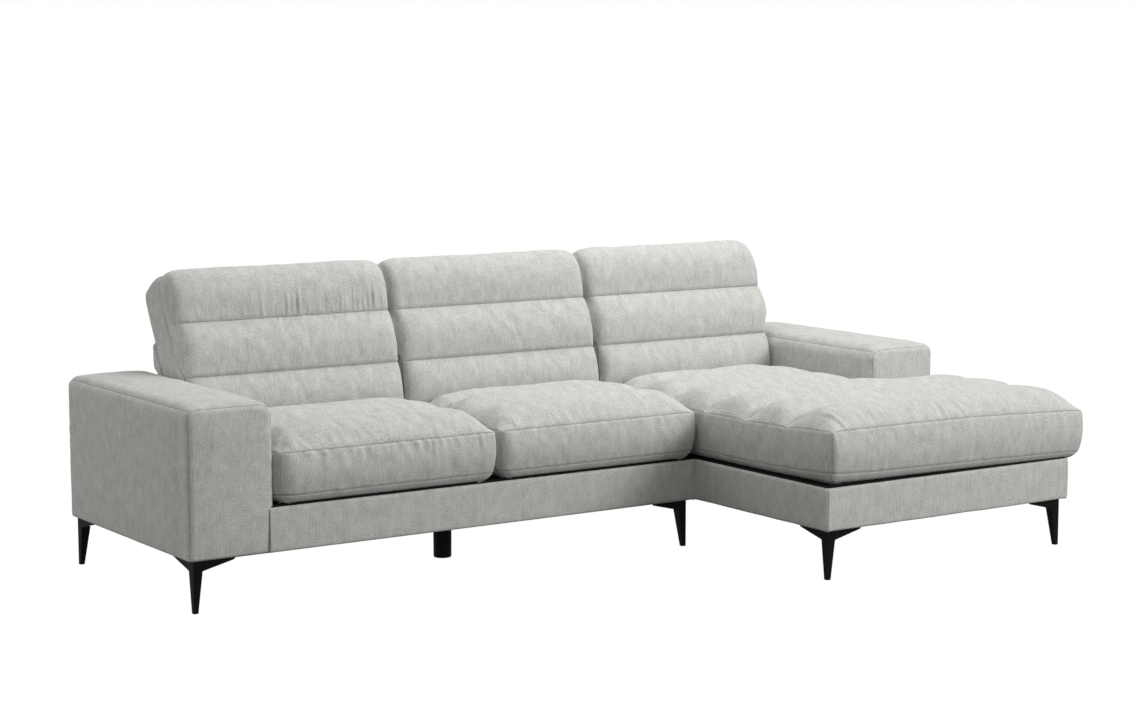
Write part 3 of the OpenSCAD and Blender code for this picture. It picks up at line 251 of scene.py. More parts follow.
# Springs, clips and webbing
# Zigzag springs of oiled steel wire hang between zinc plated clips on the rails. The back units carry
# woven elastic straps across their timber. Bolts and screws are zinc plated too.
def steel_group():
    """Plain or plated steel: fine drawing marks under faint stains"""
    draw_scale, stain_scale = 90.0, 14.0
    group, given, place = start_group("steel")
    drawn = noise(group, place, draw_scale, 4.0, 0.7)
    stain = noise(group, place, stain_scale, 3.0)
    tone = mixed(group, drawn, stain, 0.5)
    return close_group(group, tinted(group, between(group, tone, 0.35, 0.65), given.outputs["Deep"],
                                     given.outputs["Pale"]), stain, drawn)


def strap_group():
    """Woven elastic: warp and weft threads with fuzz"""
    group, given, place = start_group("woven strap")
    warp, weft = [wire(group, "ShaderNodeTexWave", {"Vector": place, "Scale": scale, "Distortion": 0.5},
                       bands_direction=way).outputs["Fac"] for way, scale in (("X", 170.0), ("Z", 90.0))]
    weave = mixed(group, warp, weft, 0.5)
    fuzz = noise(group, place, 420.0)
    return close_group(group, tinted(group, mixed(group, weave, fuzz, 0.4), given.outputs["Deep"],
                                     given.outputs["Pale"]), fuzz, weave)


steel = steel_group()
spring_wire = finish_material("oiled spring wire", steel, {
    "Pale": (0.30, 0.30, 0.31, 1), "Deep": (0.13, 0.12, 0.12, 1)}, (0.28, 0.5), 1.0)
zinc = finish_material("zinc plate", steel, {
    "Pale": (0.72, 0.73, 0.75, 1), "Deep": (0.50, 0.51, 0.54, 1), "Scale": 3.0}, (0.24, 0.42), 1.0)
strap = finish_material("elastic webbing", strap_group(), {
    "Pale": (0.40, 0.25, 0.13, 1), "Deep": (0.17, 0.10, 0.05, 1)}, (0.75, 0.95), 0.0, (0.5, 0.0008))
give(spring_wire, "sofa_springs", "chaise_springs")
give(zinc, "spring_clips", "frame_bolts", "leg_screws", "hinge_pins", "hinge_screws")
give(strap, *[side + "_back_webbing" for side in unit_sides])


# Deck and dust cloths
# Black felt lies over the springs and shows in the gap under the cushions. A thin black cloth of
# pressed fibres is stapled under the base against dust.
def felt_group():
    """Pressed fibres: lint with uneven patches"""
    group, given, place = start_group("pressed fibre")
    lint = noise(group, place, 300.0, 4.0, 0.7)
    patch = noise(group, place, 20.0, 2.0)
    return close_group(group, tinted(group, mixed(group, lint, patch, 0.4), given.outputs["Deep"],
                                     given.outputs["Pale"]), patch, lint)


felt = felt_group()
give(finish_material("deck felt", felt, {"Pale": (0.018, 0.018, 0.018, 1), "Deep": (0.004, 0.004, 0.004, 1)},
                     (0.9, 1.0), Specular_IOR_Level=0.1), "sofa_deck_cloth", "chaise_deck_cloth")
give(finish_material("dust cloth", felt, {"Pale": (0.05, 0.05, 0.05, 1), "Deep": (0.015, 0.015, 0.015, 1),
                                          "Scale": 2.0}, (0.85, 1.0), Specular_IOR_Level=0.2),
     "sofa_dust_cloth", "chaise_dust_cloth")


# Legs
# Folded steel wing legs, powder coated matt black, stand on plastic glides at the corners. A round
# plastic leg under the middle of the two seater carries its long rail.
def powder_group():
    """A fine gritty coat with a little dust on it"""
    group, given, place = start_group("powder coat")
    grit = noise(group, place, 900.0, 2.0)
    dust = noise(group, place, 9.0, 3.0)
    return close_group(group, tinted(group, between(group, dust, 0.4, 0.7), given.outputs["Deep"],
                                     given.outputs["Pale"]), dust, grit)


powder = powder_group()
blacks = {"Pale": (0.0032, 0.0032, 0.0034, 1), "Deep": (0.0020, 0.0020, 0.0021, 1)}
black_metal = finish_material("black powder coat", powder, blacks, (0.55, 0.7), 0.0, (0.12, 0.0003),
                              Specular_IOR_Level=0.06)
black_plastic = finish_material("black moulded plastic", powder, {**blacks, "Scale": 0.6}, (0.5, 0.68), 0.0,
                                (0.08, 0.0003), Specular_IOR_Level=0.06)
give(black_metal, "sofa_legs", "chaise_legs")
give(black_plastic, "leg_glides", "support_leg")


# Ratchet hinges
# Stamped steel plates: toothed arms on the back units' sides, and brackets with a pawl on the hinge
# beam. The arms turn with their back unit, click by click.
hinge_plate = finish_material("stamped steel", steel, {
    "Pale": (0.46, 0.46, 0.48, 1), "Deep": (0.28, 0.28, 0.30, 1), "Scale": 2.0}, (0.3, 0.52), 1.0)
give(hinge_plate, "hinge_brackets", "hinge_pawls", *[side + "_back_arms" for side in unit_sides])


# Cover cloth
# A light warm grey chenille with fine upright cords. Short slubs break the cords up, and the soft
# pile gives a dull sheen. The cloth runs up every panel and from front to back over the tops.
def chenille_group():
    """Upright cords and streaks that soften into short slubs, with pile and faint clouds over them"""
    wander_scale, wander_by = 42.0, 0.0012
    upright = (1, 0.12, 1)
    group = new_group("chenille", [
        ("INPUT", "Cloth", "Vector", None), ("INPUT", "Light", "Color", (0.6, 0.6, 0.58, 1)),
        ("INPUT", "Dark", "Color", (0.4, 0.4, 0.38, 1)), ("INPUT", "Cord", "Float", 0.0056),
        ("OUTPUT", "Colour", "Color", None), ("OUTPUT", "Height", "Float", None)])
    given = wire(group, "NodeGroupInput")
    cloth = given.outputs["Cloth"]
    # Threads wander a little from side to side
    drift = wire(group, "ShaderNodeTexNoise", {"Vector": cloth, "Scale": wander_scale, "Detail": 1.0})
    drift = wire(group, "ShaderNodeVectorMath", {0: drift.outputs["Color"], 1: (0.5, 0.5, 0.5)},
                 operation="SUBTRACT")
    drift = wire(group, "ShaderNodeVectorMath", {0: drift.outputs[0], "Scale": wander_by}, operation="SCALE")
    bent = wire(group, "ShaderNodeVectorMath", {0: cloth, 1: drift.outputs[0]}, operation="ADD")
    across = wire(group, "ShaderNodeSeparateXYZ", {0: bent.outputs[0]})
    turns = wire(group, "ShaderNodeMath", {0: across.outputs[0], 1: given.outputs["Cord"]},
                 operation="DIVIDE")
    turns = wire(group, "ShaderNodeMath", {0: turns.outputs[0], 1: 2 * math.pi}, operation="MULTIPLY")
    wave = wire(group, "ShaderNodeMath", {0: turns.outputs[0]}, operation="SINE")
    cord = between(group, wave.outputs[0], -1.0, 1.0)

    def grain(stretch, scale, detail):
        """Noise over the cloth, stretched"""
        laid = wire(group, "ShaderNodeVectorMath", {0: bent.outputs[0], 1: stretch}, operation="MULTIPLY")
        return noise(group, laid.outputs[0], scale, detail, 0.6)

    streak = grain(upright, 260.0, 2.0)
    band = grain(upright, 110.0, 2.0)
    slub = grain((1, 0.6, 1), 340.0, 2.0)
    pile = grain((1, 1, 1), 700.0, 2.0)
    cloud = grain((1, 0.7, 1), 32.0, 3.0)
    # Where the cords stand out and where the pile hides them
    hidden = between(group, grain((1, 1, 1), 11.0, 2.0), 0.38, 0.56, 0.08, 0.85)
    lines = mixed(group, mixed(group, cord, streak, 0.68), band, 0.22)
    ribs = wire(group, "ShaderNodeMix", {0: hidden, 2: lines, 3: slub}, data_type="FLOAT").outputs[0]
    tone = mixed(group, mixed(group, mixed(group, ribs, slub, 0.25), pile, 0.2), cloud, 0.20)
    shade = between(group, tone, 0.37, 0.63)
    colour = tinted(group, shade, given.outputs["Dark"], given.outputs["Light"])
    height = mixed(group, mixed(group, cord, slub, 0.5), pile, 0.25)
    wire(group, "NodeGroupOutput", {"Colour": colour, "Height": height})
    return group


chenille_weave = chenille_group()


def chenille(name, place="UV", light=(0.660, 0.658, 0.638), dark=(0.330, 0.325, 0.308)):
    """The cover cloth, laid by the piece's own cloth map or turned over its place on the sofa"""
    material = bpy.data.materials.new(name)
    material.use_nodes = True
    tree = material.node_tree
    tree.nodes.clear()
    if place == "UV":
        cloth = wire(tree, "ShaderNodeUVMap", uv_map="cloth").outputs[0]
    else:
        spot = wire(tree, "ShaderNodeTexCoord").outputs["Object"]
        cloth = wire(tree, "ShaderNodeMapping", {"Vector": spot, "Rotation": place}).outputs[0]
    weave = wire(tree, "ShaderNodeGroup", node_tree=chenille_weave)
    tree.links.new(cloth, weave.inputs["Cloth"])
    weave.inputs["Light"].default_value = (*light, 1)
    weave.inputs["Dark"].default_value = (*dark, 1)
    colour = weave.outputs["Colour"]
    if place == "UV":
        # Painted shade: the colour is darkened along the stitched line, for the shadow of its two turned
        # edges
        dark_to, clear_from, seam_shade_tone = 0.0002, 0.0022, 0.62
        away = wire(tree, "ShaderNodeAttribute", attribute_name="away").outputs["Fac"]
        painted_seam_shade = between(tree, away, dark_to, clear_from, seam_shade_tone, 1.0)
        colour = wire(tree, "ShaderNodeVectorMath", {0: colour, "Scale": painted_seam_shade},
                      operation="SCALE").outputs[0]
    relief = wire(tree, "ShaderNodeBump", {"Height": weave.outputs["Height"], "Strength": 0.45,
                                           "Distance": 0.0014})
    skin = wire(tree, "ShaderNodeBsdfPrincipled", {
        "Base Color": colour, "Normal": relief.outputs[0], "Roughness": 0.92,
        "Sheen Weight": 0.18, "Sheen Roughness": 0.5, "Specular IOR Level": 0.15})
    wire(tree, "ShaderNodeOutputMaterial", {"Surface": skin.outputs[0]})
    return material


cover = chenille("chenille cover")
give(chenille("chenille between modules", (math.pi / 2, 0, math.pi / 2)), "sofa_end_cover")


# Arms
# Pine boxes wrapped in wadding and cloth. Side and top panels meet the front panel in a stitched seam
# and swell between the seams. Each arm is drawn as six panels, and its front corners are rounded.
def stations(marks, step, near=()):
    """Stations from mark to mark about a step apart, with closer ones beside each mark"""
    line = []
    for a, b in zip(marks[:-1], marks[1:]):
        side = [e for e in near if e < (b - a) / 3]
        inner = side[-1] if side else 0.0
        count = max(1, round((b - a - 2 * inner) / step))
        line += [a] + [a + e for e in side]
        line += list(np.linspace(a + inner, b - inner, count + 1)[1:-1])
        line += [b - e for e in reversed(side)]
    return np.array(line + [marks[-1]])


def rise(gap, reach):
    """Climbs from 0 at a seam to 1 at its reach"""
    t = np.clip(gap / reach, 0, 1)
    return 1 - (1 - t) ** 2


def ripple(s, seed, lengths):
    """An uneven wave along s, made of waves of the given lengths"""
    random = np.random.default_rng(seed)
    total = np.zeros_like(s)
    for length in lengths:
        total = total + np.sin(2 * np.pi * (s / length + random.random()))
    return total / len(lengths)


def gathers(s, d, seed, start, end, count, length, height, slant=0.0, width=0.0052):
    """Single pulls in the cloth from a seam: s runs along it and d away from it. Each rises close to
    the seam and fades over its length, with a shallow valley on both sides"""
    peak, tail, bend = 0.22, 0.55, 0.12
    random = np.random.default_rng(seed)
    total = np.zeros_like(s)
    for k in range(count):
        at = start + (end - start) * (k + 1.6 * random.random() - 0.3) / count
        reach = length * (0.4 + random.random())
        wide = width * (0.6 + 0.8 * random.random())
        tall = height * (0.35 + 0.65 * random.random())
        lean = slant * (0.6 + 0.8 * random.random()) + bend * (random.random() - 0.5)
        t = np.clip(d / reach, 0, 6)
        fade = t / peak * np.exp(1 - t / peak) * (t < peak) + np.exp(-((t - peak) / tail) ** 2) * (t >= peak)
        off = (s - at - lean * d) / (wide * (1 + 0.5 * t))
        total += tall * fade * (np.exp(-off ** 2) - 0.45 * np.exp(-(off / 2.2) ** 2))
    return total


seam_rows = {}


def sew(name, panels, lines=()):
    """Joins panels into one closed mesh. A panel is a dict of grids: at (n, m, 3), cloth (n, m, 2),
    and any of along, away, held and up (n, m), which stay on the mesh as attributes. Lines are rows
    of points on seams, whose vertices are kept for the stitches"""
    # Points of two panels are one where they fall into the same cell. The shift keeps round sizes,
    # such as whole millimetres, away from the cells' edges
    cells_per_metre, shift, find_per_metre = 20000, 0.137, 5000
    points = np.concatenate([p["at"].reshape(-1, 3) for p in panels])
    keys = np.round(points * cells_per_metre + shift).astype(np.int64)
    _, first, merged = np.unique(keys, axis=0, return_index=True, return_inverse=True)
    merged = merged.reshape(-1)
    faces, corners = [], []
    base = 0
    for p in panels:
        n, m = p["at"].shape[:2]
        index = base + np.arange(n * m).reshape(n, m)
        quads = np.stack([index[:-1, :-1], index[1:, :-1], index[1:, 1:], index[:-1, 1:]], -1)
        keep = p.get("keep")
        quads = quads[keep] if keep is not None else quads.reshape(-1, 4)
        cloth = p["cloth"].reshape(-1, 2)
        for quad in quads:
            ids, spots = [], []
            for corner in quad:
                if merged[corner] not in ids:
                    ids.append(int(merged[corner]))
                    spots.append(tuple(cloth[corner - base]))
            if len(ids) > 2:
                faces.append(ids)
                corners += spots
        base += n * m
    mesh = bpy.data.meshes.new(name)
    mesh.from_pydata(points[first].tolist(), [], faces)
    layer = mesh.uv_layers.new(name="cloth")
    layer.data.foreach_set("uv", np.array(corners, np.float32).reshape(-1))
    for key, empty in (("along", 0.0), ("away", 1.0), ("held", 0.0), ("up", 0.0)):
        values = np.concatenate([np.broadcast_to(p.get(key, empty), p["at"].shape[:2]).reshape(-1)
                                 for p in panels])
        joined = np.full(len(first), np.inf if key == "away" else -np.inf)
        (np.minimum if key == "away" else np.maximum).at(joined, merged, values)
        mesh.attributes.new(key, "FLOAT", "POINT").data.foreach_set("value", joined.astype(np.float32))
    piece = bpy.data.objects.new(name, mesh)
    scene.collection.objects.link(piece)
    form = bmesh.new()
    form.from_mesh(mesh)
    bmesh.ops.delete(form, geom=[v for v in form.verts if not v.link_faces], context="VERTS")
    bmesh.ops.recalc_face_normals(form, faces=form.faces)
    form.to_mesh(mesh)
    form.free()
    mesh.shade_smooth()
    spots = {tuple(np.round(np.array(v.co) * find_per_metre).astype(int)): v.index for v in mesh.vertices}
    rows = [[spots.get(tuple(np.round(q * find_per_metre).astype(int))) for q in line] for line in lines]
    seam_rows[name] = [[k for k in row if k is not None] for row in rows]
    return piece


def places(mesh):
    """The vertices' places (n, 3)"""
    co = np.empty(len(mesh.vertices) * 3, np.float32)
    mesh.vertices.foreach_get("co", co)
    return co.reshape(-1, 3).astype(float)


def normals(mesh):
    """The vertices' outward ways (n, 3)"""
    out = np.empty(len(mesh.vertices) * 3, np.float32)
    mesh.vertex_normals.foreach_get("vector", out)
    return out.reshape(-1, 3).astype(float)


def mark(mesh, key):
    """The values of an attribute (n)"""
    values = np.empty(len(mesh.vertices), np.float32)
    mesh.attributes[key].data.foreach_get("value", values)
    return values.astype(float)


def move(mesh, co):
    """Puts the vertices at new places"""
    mesh.vertices.foreach_set("co", co.astype(np.float32).reshape(-1))
    mesh.update()


def apply_layer(piece, layer):
    """Turns the piece with its modifier into a plain mesh"""
    solid = bpy.data.meshes.new_from_object(piece.evaluated_get(bpy.context.evaluated_depsgraph_get()))
    piece.modifiers.remove(layer)
    piece.data = solid
    solid.shade_smooth()


def smooth_once(piece):
    """One level of subdivision, applied"""
    layer = piece.modifiers.new("round", "SUBSURF")
    layer.levels = layer.render_levels = 1
    layer.uv_smooth = "PRESERVE_BOUNDARIES"
    apply_layer(piece, layer)
    return piece


def finish_cloth(piece, body, replaced):
    """Cover cloth, body, and the CAD nodes that the piece stands for"""
    piece.data.materials.clear()
    piece.data.materials.append(cover)
    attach(piece, body)
    if replaced:
        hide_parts(*replaced)


def seam_dent(away, depth, ridge=0.0):
    """A sewn seam: the stitched line lies low, its two turned edges stand up beside it"""
    line_w, edge_at, edge_w = 0.0034, 0.0065, 0.0045
    return (depth + ridge) * np.exp(-(away / line_w) ** 2) - ridge * np.exp(-((away - edge_at) / edge_w) ** 2)


stitch_sizes = {"Stitch length": 0.0052, "Thread diameter": 0.0012, "Seed": 3}


def stitch_group():
    """Geometry Nodes: one thread stitch on each point, along its way and with its back outwards"""
    group = new_group("stitches", [
        ("INPUT", "Points", "Geometry", None),
        ("INPUT", "Stitch length", "Float", stitch_sizes["Stitch length"]),
        ("INPUT", "Thread diameter", "Float", stitch_sizes["Thread diameter"]),
        ("INPUT", "Seed", "Int", stitch_sizes["Seed"]), ("OUTPUT", "Stitches", "Geometry", None)],
        "GeometryNodeTree")
    given = wire(group, "NodeGroupInput")
    ball = wire(group, "GeometryNodeMeshIcoSphere", {"Radius": 0.5, "Subdivisions": 1})
    way, out = [wire(group, "GeometryNodeInputNamedAttribute", {"Name": key},
                     data_type="FLOAT_VECTOR").outputs[0] for key in ("way", "out")]
    first = wire(group, "FunctionNodeAlignRotationToVector", {"Vector": way}, axis="X")
    second = wire(group, "FunctionNodeAlignRotationToVector", {"Rotation": first.outputs[0], "Vector": out},
                  axis="Z", pivot_axis="X")
    play = wire(group, "FunctionNodeRandomValue", {2: 0.85, 3: 1.1, "Seed": given.outputs["Seed"]})
    long = wire(group, "ShaderNodeMath", {0: given.outputs["Stitch length"], 1: play.outputs[1]},
                operation="MULTIPLY")
    size = wire(group, "ShaderNodeCombineXYZ", {0: long.outputs[0], 1: given.outputs["Thread diameter"],
                                                2: given.outputs["Thread diameter"]})
    spread = wire(group, "GeometryNodeInstanceOnPoints", {
        "Points": given.outputs["Points"], "Instance": ball.outputs[0], "Rotation": second.outputs[0],
        "Scale": size.outputs[0]})
    solid = wire(group, "GeometryNodeRealizeInstances", {0: spread.outputs[0]})
    dyed = wire(group, "GeometryNodeSetMaterial", {"Geometry": solid.outputs[0], "Material": thread})
    wire(group, "NodeGroupOutput", {"Stitches": dyed.outputs[0]})
    return group


thread = finish_material("sewing thread", felt, {
    "Pale": (0.30, 0.29, 0.28, 1), "Deep": (0.20, 0.19, 0.18, 1), "Scale": 1.5}, (0.6, 0.8))
stitch_nodes = stitch_group()


def stitch(name, body, pieces, pitch=0.008, reach=0.004, proud=0.0002):
    """Stitches along all seam rows of these pieces, as one mesh. reach: how far along the seam each
    one takes its way from; proud: how far its middle stands off the cloth"""
    spots, ways, outs = [], [], []
    for piece in pieces:
        co, out = places(piece.data), normals(piece.data)
        for row in seam_rows[piece.name]:
            line, up = co[row], out[row]
            run = np.concatenate([[0], np.cumsum(np.linalg.norm(np.diff(line, axis=0), axis=1))])
            if run[-1] < 3 * pitch:
                continue
            at = np.arange(pitch, run[-1] - pitch / 2, pitch)
            here, ahead, behind, lift = [
                np.stack([np.interp(a, run, g[:, k]) for k in range(3)], -1)
                for a, g in ((at, line), (at + reach, line), (at - reach, line), (at, up))]
            spots.append(here + proud * lift)
            ways.append(ahead - behind)
            outs.append(lift)
    points = bpy.data.meshes.new(name)
    points.from_pydata(np.concatenate(spots).tolist(), [], [])
    for key, values in (("way", ways), ("out", outs)):
        points.attributes.new(key, "FLOAT_VECTOR", "POINT").data.foreach_set(
            "vector", np.concatenate(values).astype(np.float32).reshape(-1))
    piece = bpy.data.objects.new(name, points)
    scene.collection.objects.link(piece)
    layer = piece.modifiers.new("stitches", "NODES")
    layer.node_group = stitch_nodes
    for item in stitch_nodes.interface.items_tree:
        if item.name in stitch_sizes:
            layer[item.identifier] = stitch_sizes[item.name]
    apply_layer(piece, layer)
    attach(piece, body)


def upholstered_box(name, low, high, soft_low, soft_high, step, swell_low, swell_high, groove, seed,
                    corners=(), slack=0.0010, power=2.2):
    """low, high: corners; soft_low, soft_high: edge radius at the low and high end of each axis;
    swell_low, swell_high: how far each panel bows out; groove: depth and ridge of the seams; corners:
    (side in x, side in z, radius in x, radius in z) of the front view; slack: height of the cloth's
    waves; power: how square the roundings are, where 2 is a circle"""
    beside_seam, bow_reach = (0.003, 0.007), 0.10
    hollow_depth, hollow_at, hollow_w = 0.0070, 0.060, 0.032
    fold_depth, fold_z, fold_slope, fold_w, fold_at, fold_half = 0.0010, 0.272, 0.01, 0.0035, 0.09, 0.07
    low, high, soft_low, soft_high = (np.array(v, float) for v in (low, high, soft_low, soft_high))
    swells = np.array([swell_low, swell_high], float)
    low, high = low + swells[0], high - swells[1]
    wide = np.zeros((2, 3))
    for sx, sz, rx, rz in corners:
        wide[int(sx > 0), 0] = max(wide[int(sx > 0), 0], rx)
        wide[int(sz > 0), 2] = max(wide[int(sz > 0), 2], rz)
    lines = []
    for i in range(3):
        marks = {low[i], low[i] + soft_low[i], high[i] - soft_high[i], high[i]}
        marks |= {low[i] + wide[0, i], high[i] - wide[1, i]}
        lines.append(stations(sorted(marks), step, beside_seam))
    panels, rows = [], []
    for axis in range(3):
        a, b = [i for i in range(3) if i != axis]
        for side in (0, 1):
            A, B = np.meshgrid(lines[a], lines[b], indexing="ij")
            at = np.empty(A.shape + (3,))
            at[..., a], at[..., b] = A, B
            at[..., axis] = high[axis] if side else low[axis]
            inner = np.clip(at, low + soft_low, high - soft_high)
            soft = np.where(at < inner, soft_low, soft_high)
            ray = (at - inner) / soft
            # Only the edges round the front and rear panels are rounded here, the rest by the corners
            sides = np.maximum(abs(ray[..., 0]), abs(ray[..., 2]))
            size = (sides ** power + abs(ray[..., 1]) ** power)[..., None] ** (1 / power)
            at = inner + ray / np.maximum(size, 1e-9) * soft
            for sx, sz, rx, rz in corners:
                cx = high[0] - rx if sx > 0 else low[0] + rx
                cz = high[2] - rz if sz > 0 else low[2] + rz
                u, v = sx * (at[..., 0] - cx) / rx, sz * (at[..., 2] - cz) / rz
                near = (u > 0) & (v > 0)
                u, v = np.maximum(u, 1e-9), np.maximum(v, 1e-9)
                k = np.where(near, np.maximum(u, v) / (u ** power + v ** power) ** (1 / power), 1)
                at[..., 0] = np.where(near, cx + sx * rx * u * k, at[..., 0])
                at[..., 2] = np.where(near, cz + sz * rz * v * k, at[..., 2])
            gap_a = np.minimum(A - low[a], high[a] - A)
            gap_b = np.minimum(B - low[b], high[b] - B)
            bow = swells[side, axis] * rise(gap_a, bow_reach) * rise(gap_b, bow_reach)
            at[..., axis] += bow if side else -bow
            if axis == 1 and not side:
                rows += [at[0], at[-1], at[:, -1]]
            if axis == 2 and side:
                rows += [at[0], at[-1]]
            panels.append(dict(at=at, cloth=np.stack([A, B], -1), away=np.minimum(gap_a, gap_b),
                               along=np.where(gap_a < gap_b, B, A)))
    piece = smooth_once(sew(name, panels, rows))
    mesh = piece.data
    co, out = places(mesh), normals(mesh)
    away, along = mark(mesh, "away"), mark(mesh, "along")
    wave = slack * (ripple(co[:, 0] + 0.6 * co[:, 2], seed, (0.11, 0.17, 0.26))
                    * ripple(co[:, 1] - 0.4 * co[:, 2], seed + 1, (0.13, 0.21, 0.3)))
    pull = 1.1 * slack * ripple(along, seed + 2, (0.021, 0.034, 0.05)) * np.exp(-away / 0.02)
    pull *= np.clip(away / 0.01, 0, 1) * np.clip(ripple(along, seed + 3, (0.3, 0.47)) + 0.4, 0, 1)
    # The sides lie hollow behind the front corners, and the front panel keeps a fold from packing
    behind = co[:, 1] - low[1]
    hollow = -hollow_depth * np.exp(-((behind - hollow_at) / hollow_w) ** 2)
    hollow *= np.clip(abs(out[:, 0]) * 2 - 1, 0, 1) * np.clip((high[2] - co[:, 2]) / 0.10, 0, 1)
    over_x = co[:, 0] - low[0]
    fold = -fold_depth * np.exp(-((co[:, 2] - fold_z - fold_slope * over_x) / fold_w) ** 2)
    fold *= np.clip(-out[:, 1] * 2 - 1, 0, 1) * np.clip(1 - abs(over_x - fold_at) / fold_half, 0, 1)
    dent = seam_dent(away, *groove) * np.clip((co[:, 2] - low[2]) / 0.02 - 0.3, 0, 1)
    move(mesh, co + out * (wave + pull + hollow + fold - dent)[:, None])
    return piece


# Radii of the front panel's edge and of its corners: towards the seat, away from it and at the bottom
edge_round, rear_round = 0.018, 0.020
seat_corner, outer_corner, foot_corner = (0.048, 0.040), (0.034, 0.030), (0.010, 0.010)
foot_round, arm_step, arm_slack, arm_groove = 0.006, 0.013, 0.0018, (0.0010, 0.0002)
# How far the padding stands out past the CAD cover at the front, the foot and the top, and for each
# arm, as wide, at its left and right side
front_out, foot_out, top_out = 0.002, 0.0015, 0.010
bow_low, bow_high = (0.005, 0.010, 0.0), (0.006, 0.002, 0.012)
arms = []
for side, seed, wide in (("left", 11, (0.002, 0.020)), ("right", 23, (0.008, 0.020))):
    low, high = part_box(side + "_arm_cover")
    sx = 1 if side == "left" else -1
    corners = [(sx, 1, *seat_corner), (-sx, 1, *outer_corner), (sx, -1, *foot_corner),
               (-sx, -1, *foot_corner)]
    arm = upholstered_box(side + "_arm", (low.x - wide[0], low.y - front_out, low.z - foot_out),
                          (high.x + wide[1], high.y, high.z + top_out),
                          (edge_round, edge_round, foot_round), (edge_round, rear_round, edge_round),
                          arm_step, bow_low, bow_high, arm_groove, seed, corners, slack=arm_slack)
    finish_cloth(arm, "root", [side + "_arm_cover"])
    arms.append(arm)


# Base rails and outside backs
# Cloth over a layer of wadding, wrapped round each board and stapled behind it. It turns under the
# board and over its top, and is sewn to shape at the corners.
def hems(shell, lining, cloth):
    """The two edges along a shell's length that close it to its lining, as panels"""
    return [dict(at=np.stack([shell[:, j], lining[:, j]], 1), cloth=cloth[:, [j, j]],
                 held=np.ones((len(shell), 2))) for j in (0, shell.shape[1] - 1)]


def wrap(name, corners, outer, inner, step, seed, corner_r=0.006, slack=0.0008, swell=0.0):
    """corners: plan points of the outer face, walked with the outside on the right; outer, inner:
    pairs of (depth behind the face, height) from one stapled edge round to the other"""
    beside_corner, turns, bow_reach = (0.002, 0.005), 4, 0.06
    line_depth, ridge = 0.0004, 0.0010
    corners = np.array(corners, float)
    outer, inner = np.array(outer, float), np.array(inner, float)
    depths = np.concatenate([outer[:, 0], inner[:, 0]])
    rows, run = [], 0.0
    last = len(corners) - 1
    for k in range(last):
        way = corners[k + 1] - corners[k]
        length = np.linalg.norm(way)
        way = way / length
        out = np.array([way[1], -way[0]])
        marks = [0.0 if k == 0 else corner_r, length if k == last - 1 else length - corner_r]
        for s in stations(marks, step, beside_corner):
            # Behind a corner the layers meet on its mitre
            first = np.maximum(s, depths) if k else np.full_like(depths, s)
            along = np.minimum(first, length - depths) if k < last - 1 else first
            rows.append((corners[k] + along[:, None] * way - depths[:, None] * out, run + s, out,
                         min(s if k else 1.0, length - s if k < last - 1 else 1.0)))
        if k < last - 1:
            turn = corners[k + 2] - corners[k + 1]
            next_out = np.array([turn[1], -turn[0]]) / np.linalg.norm(turn)
            for a in np.linspace(0, 1, turns + 2)[1:-1]:
                mid = out * math.cos(a * math.pi / 2) + next_out * math.sin(a * math.pi / 2)
                centre = corners[k + 1] - corner_r * (out + next_out)
                near = centre + mid * (corner_r - depths[:, None])
                far = corners[k + 1] - depths[:, None] * (out + next_out)
                rows.append((np.where(depths[:, None] < corner_r, near, far), run + length, mid, 0.0))
        run += length
    plan = np.array([row[0] for row in rows])
    runs = np.array([row[1] for row in rows])
    outs = np.array([row[2] for row in rows])
    corner_gap = np.array([row[3] for row in rows])
    n, m = len(rows), len(outer)
    heights = np.concatenate([outer[:, 1], inner[:, 1]])
    at = np.concatenate([plan, np.broadcast_to(heights[None, :, None], (n, 2 * m, 1))], -1)
    shell, lining = at[:, :m].copy(), at[:, m:].copy()
    climb = np.concatenate([[0], np.cumsum(np.linalg.norm(np.diff(outer, axis=0), axis=1))])
    on_face = (outer[:, 0] < 1e-6).astype(float)
    edge = np.minimum(outer[:, 1] - outer[:, 1].min(), outer[:, 1].max() - outer[:, 1])
    bow = swell * rise(edge, bow_reach) * on_face
    shell[..., :2] += outs[:, None, :] * bow[None, :, None]
    cloth = np.stack(np.broadcast_arrays(runs[:, None], climb[None, :]), -1)
    panels = [dict(at=shell, cloth=cloth, away=np.broadcast_to(corner_gap[:, None], (n, m))),
              dict(at=lining, cloth=cloth, held=np.ones((n, m)))] + hems(shell, lining, cloth)
    for i in (0, n - 1):
        panels.append(dict(at=np.stack([shell[i], lining[i]], 1), cloth=np.stack([cloth[i], cloth[i]], 1),
                           held=np.ones((m, 2))))
    piece = smooth_once(sew(name, panels))
    mesh = piece.data
    co, out = places(mesh), normals(mesh)
    loose = np.clip(1 - mark(mesh, "held"), 0, 1)
    wave = slack * (ripple(co[:, 0] + co[:, 1], seed, (0.13, 0.22, 0.37))
                    * ripple(co[:, 2], seed + 1, (0.11, 0.19)))
    dent = seam_dent(mark(mesh, "away"), line_depth, ridge)
    move(mesh, co + out * ((wave - dent) * loose)[:, None])
    # These corners are turned, with no stitched line for the painted seam shade to darken
    mesh.attributes["away"].data.foreach_set("value", np.ones(len(co), np.float32))
    return piece


def arc(centre, radius, start, end, count):
    """Points on an arc between two angles in degrees"""
    return [(centre[0] + radius * math.cos(math.radians(a)), centre[1] + radius * math.sin(math.radians(a)))
            for a in np.linspace(start, end, count)]


cover_t, lap_under, turn_in, edge_r, flat_from = 0.006, 0.030, 0.018, 0.008, 0.02


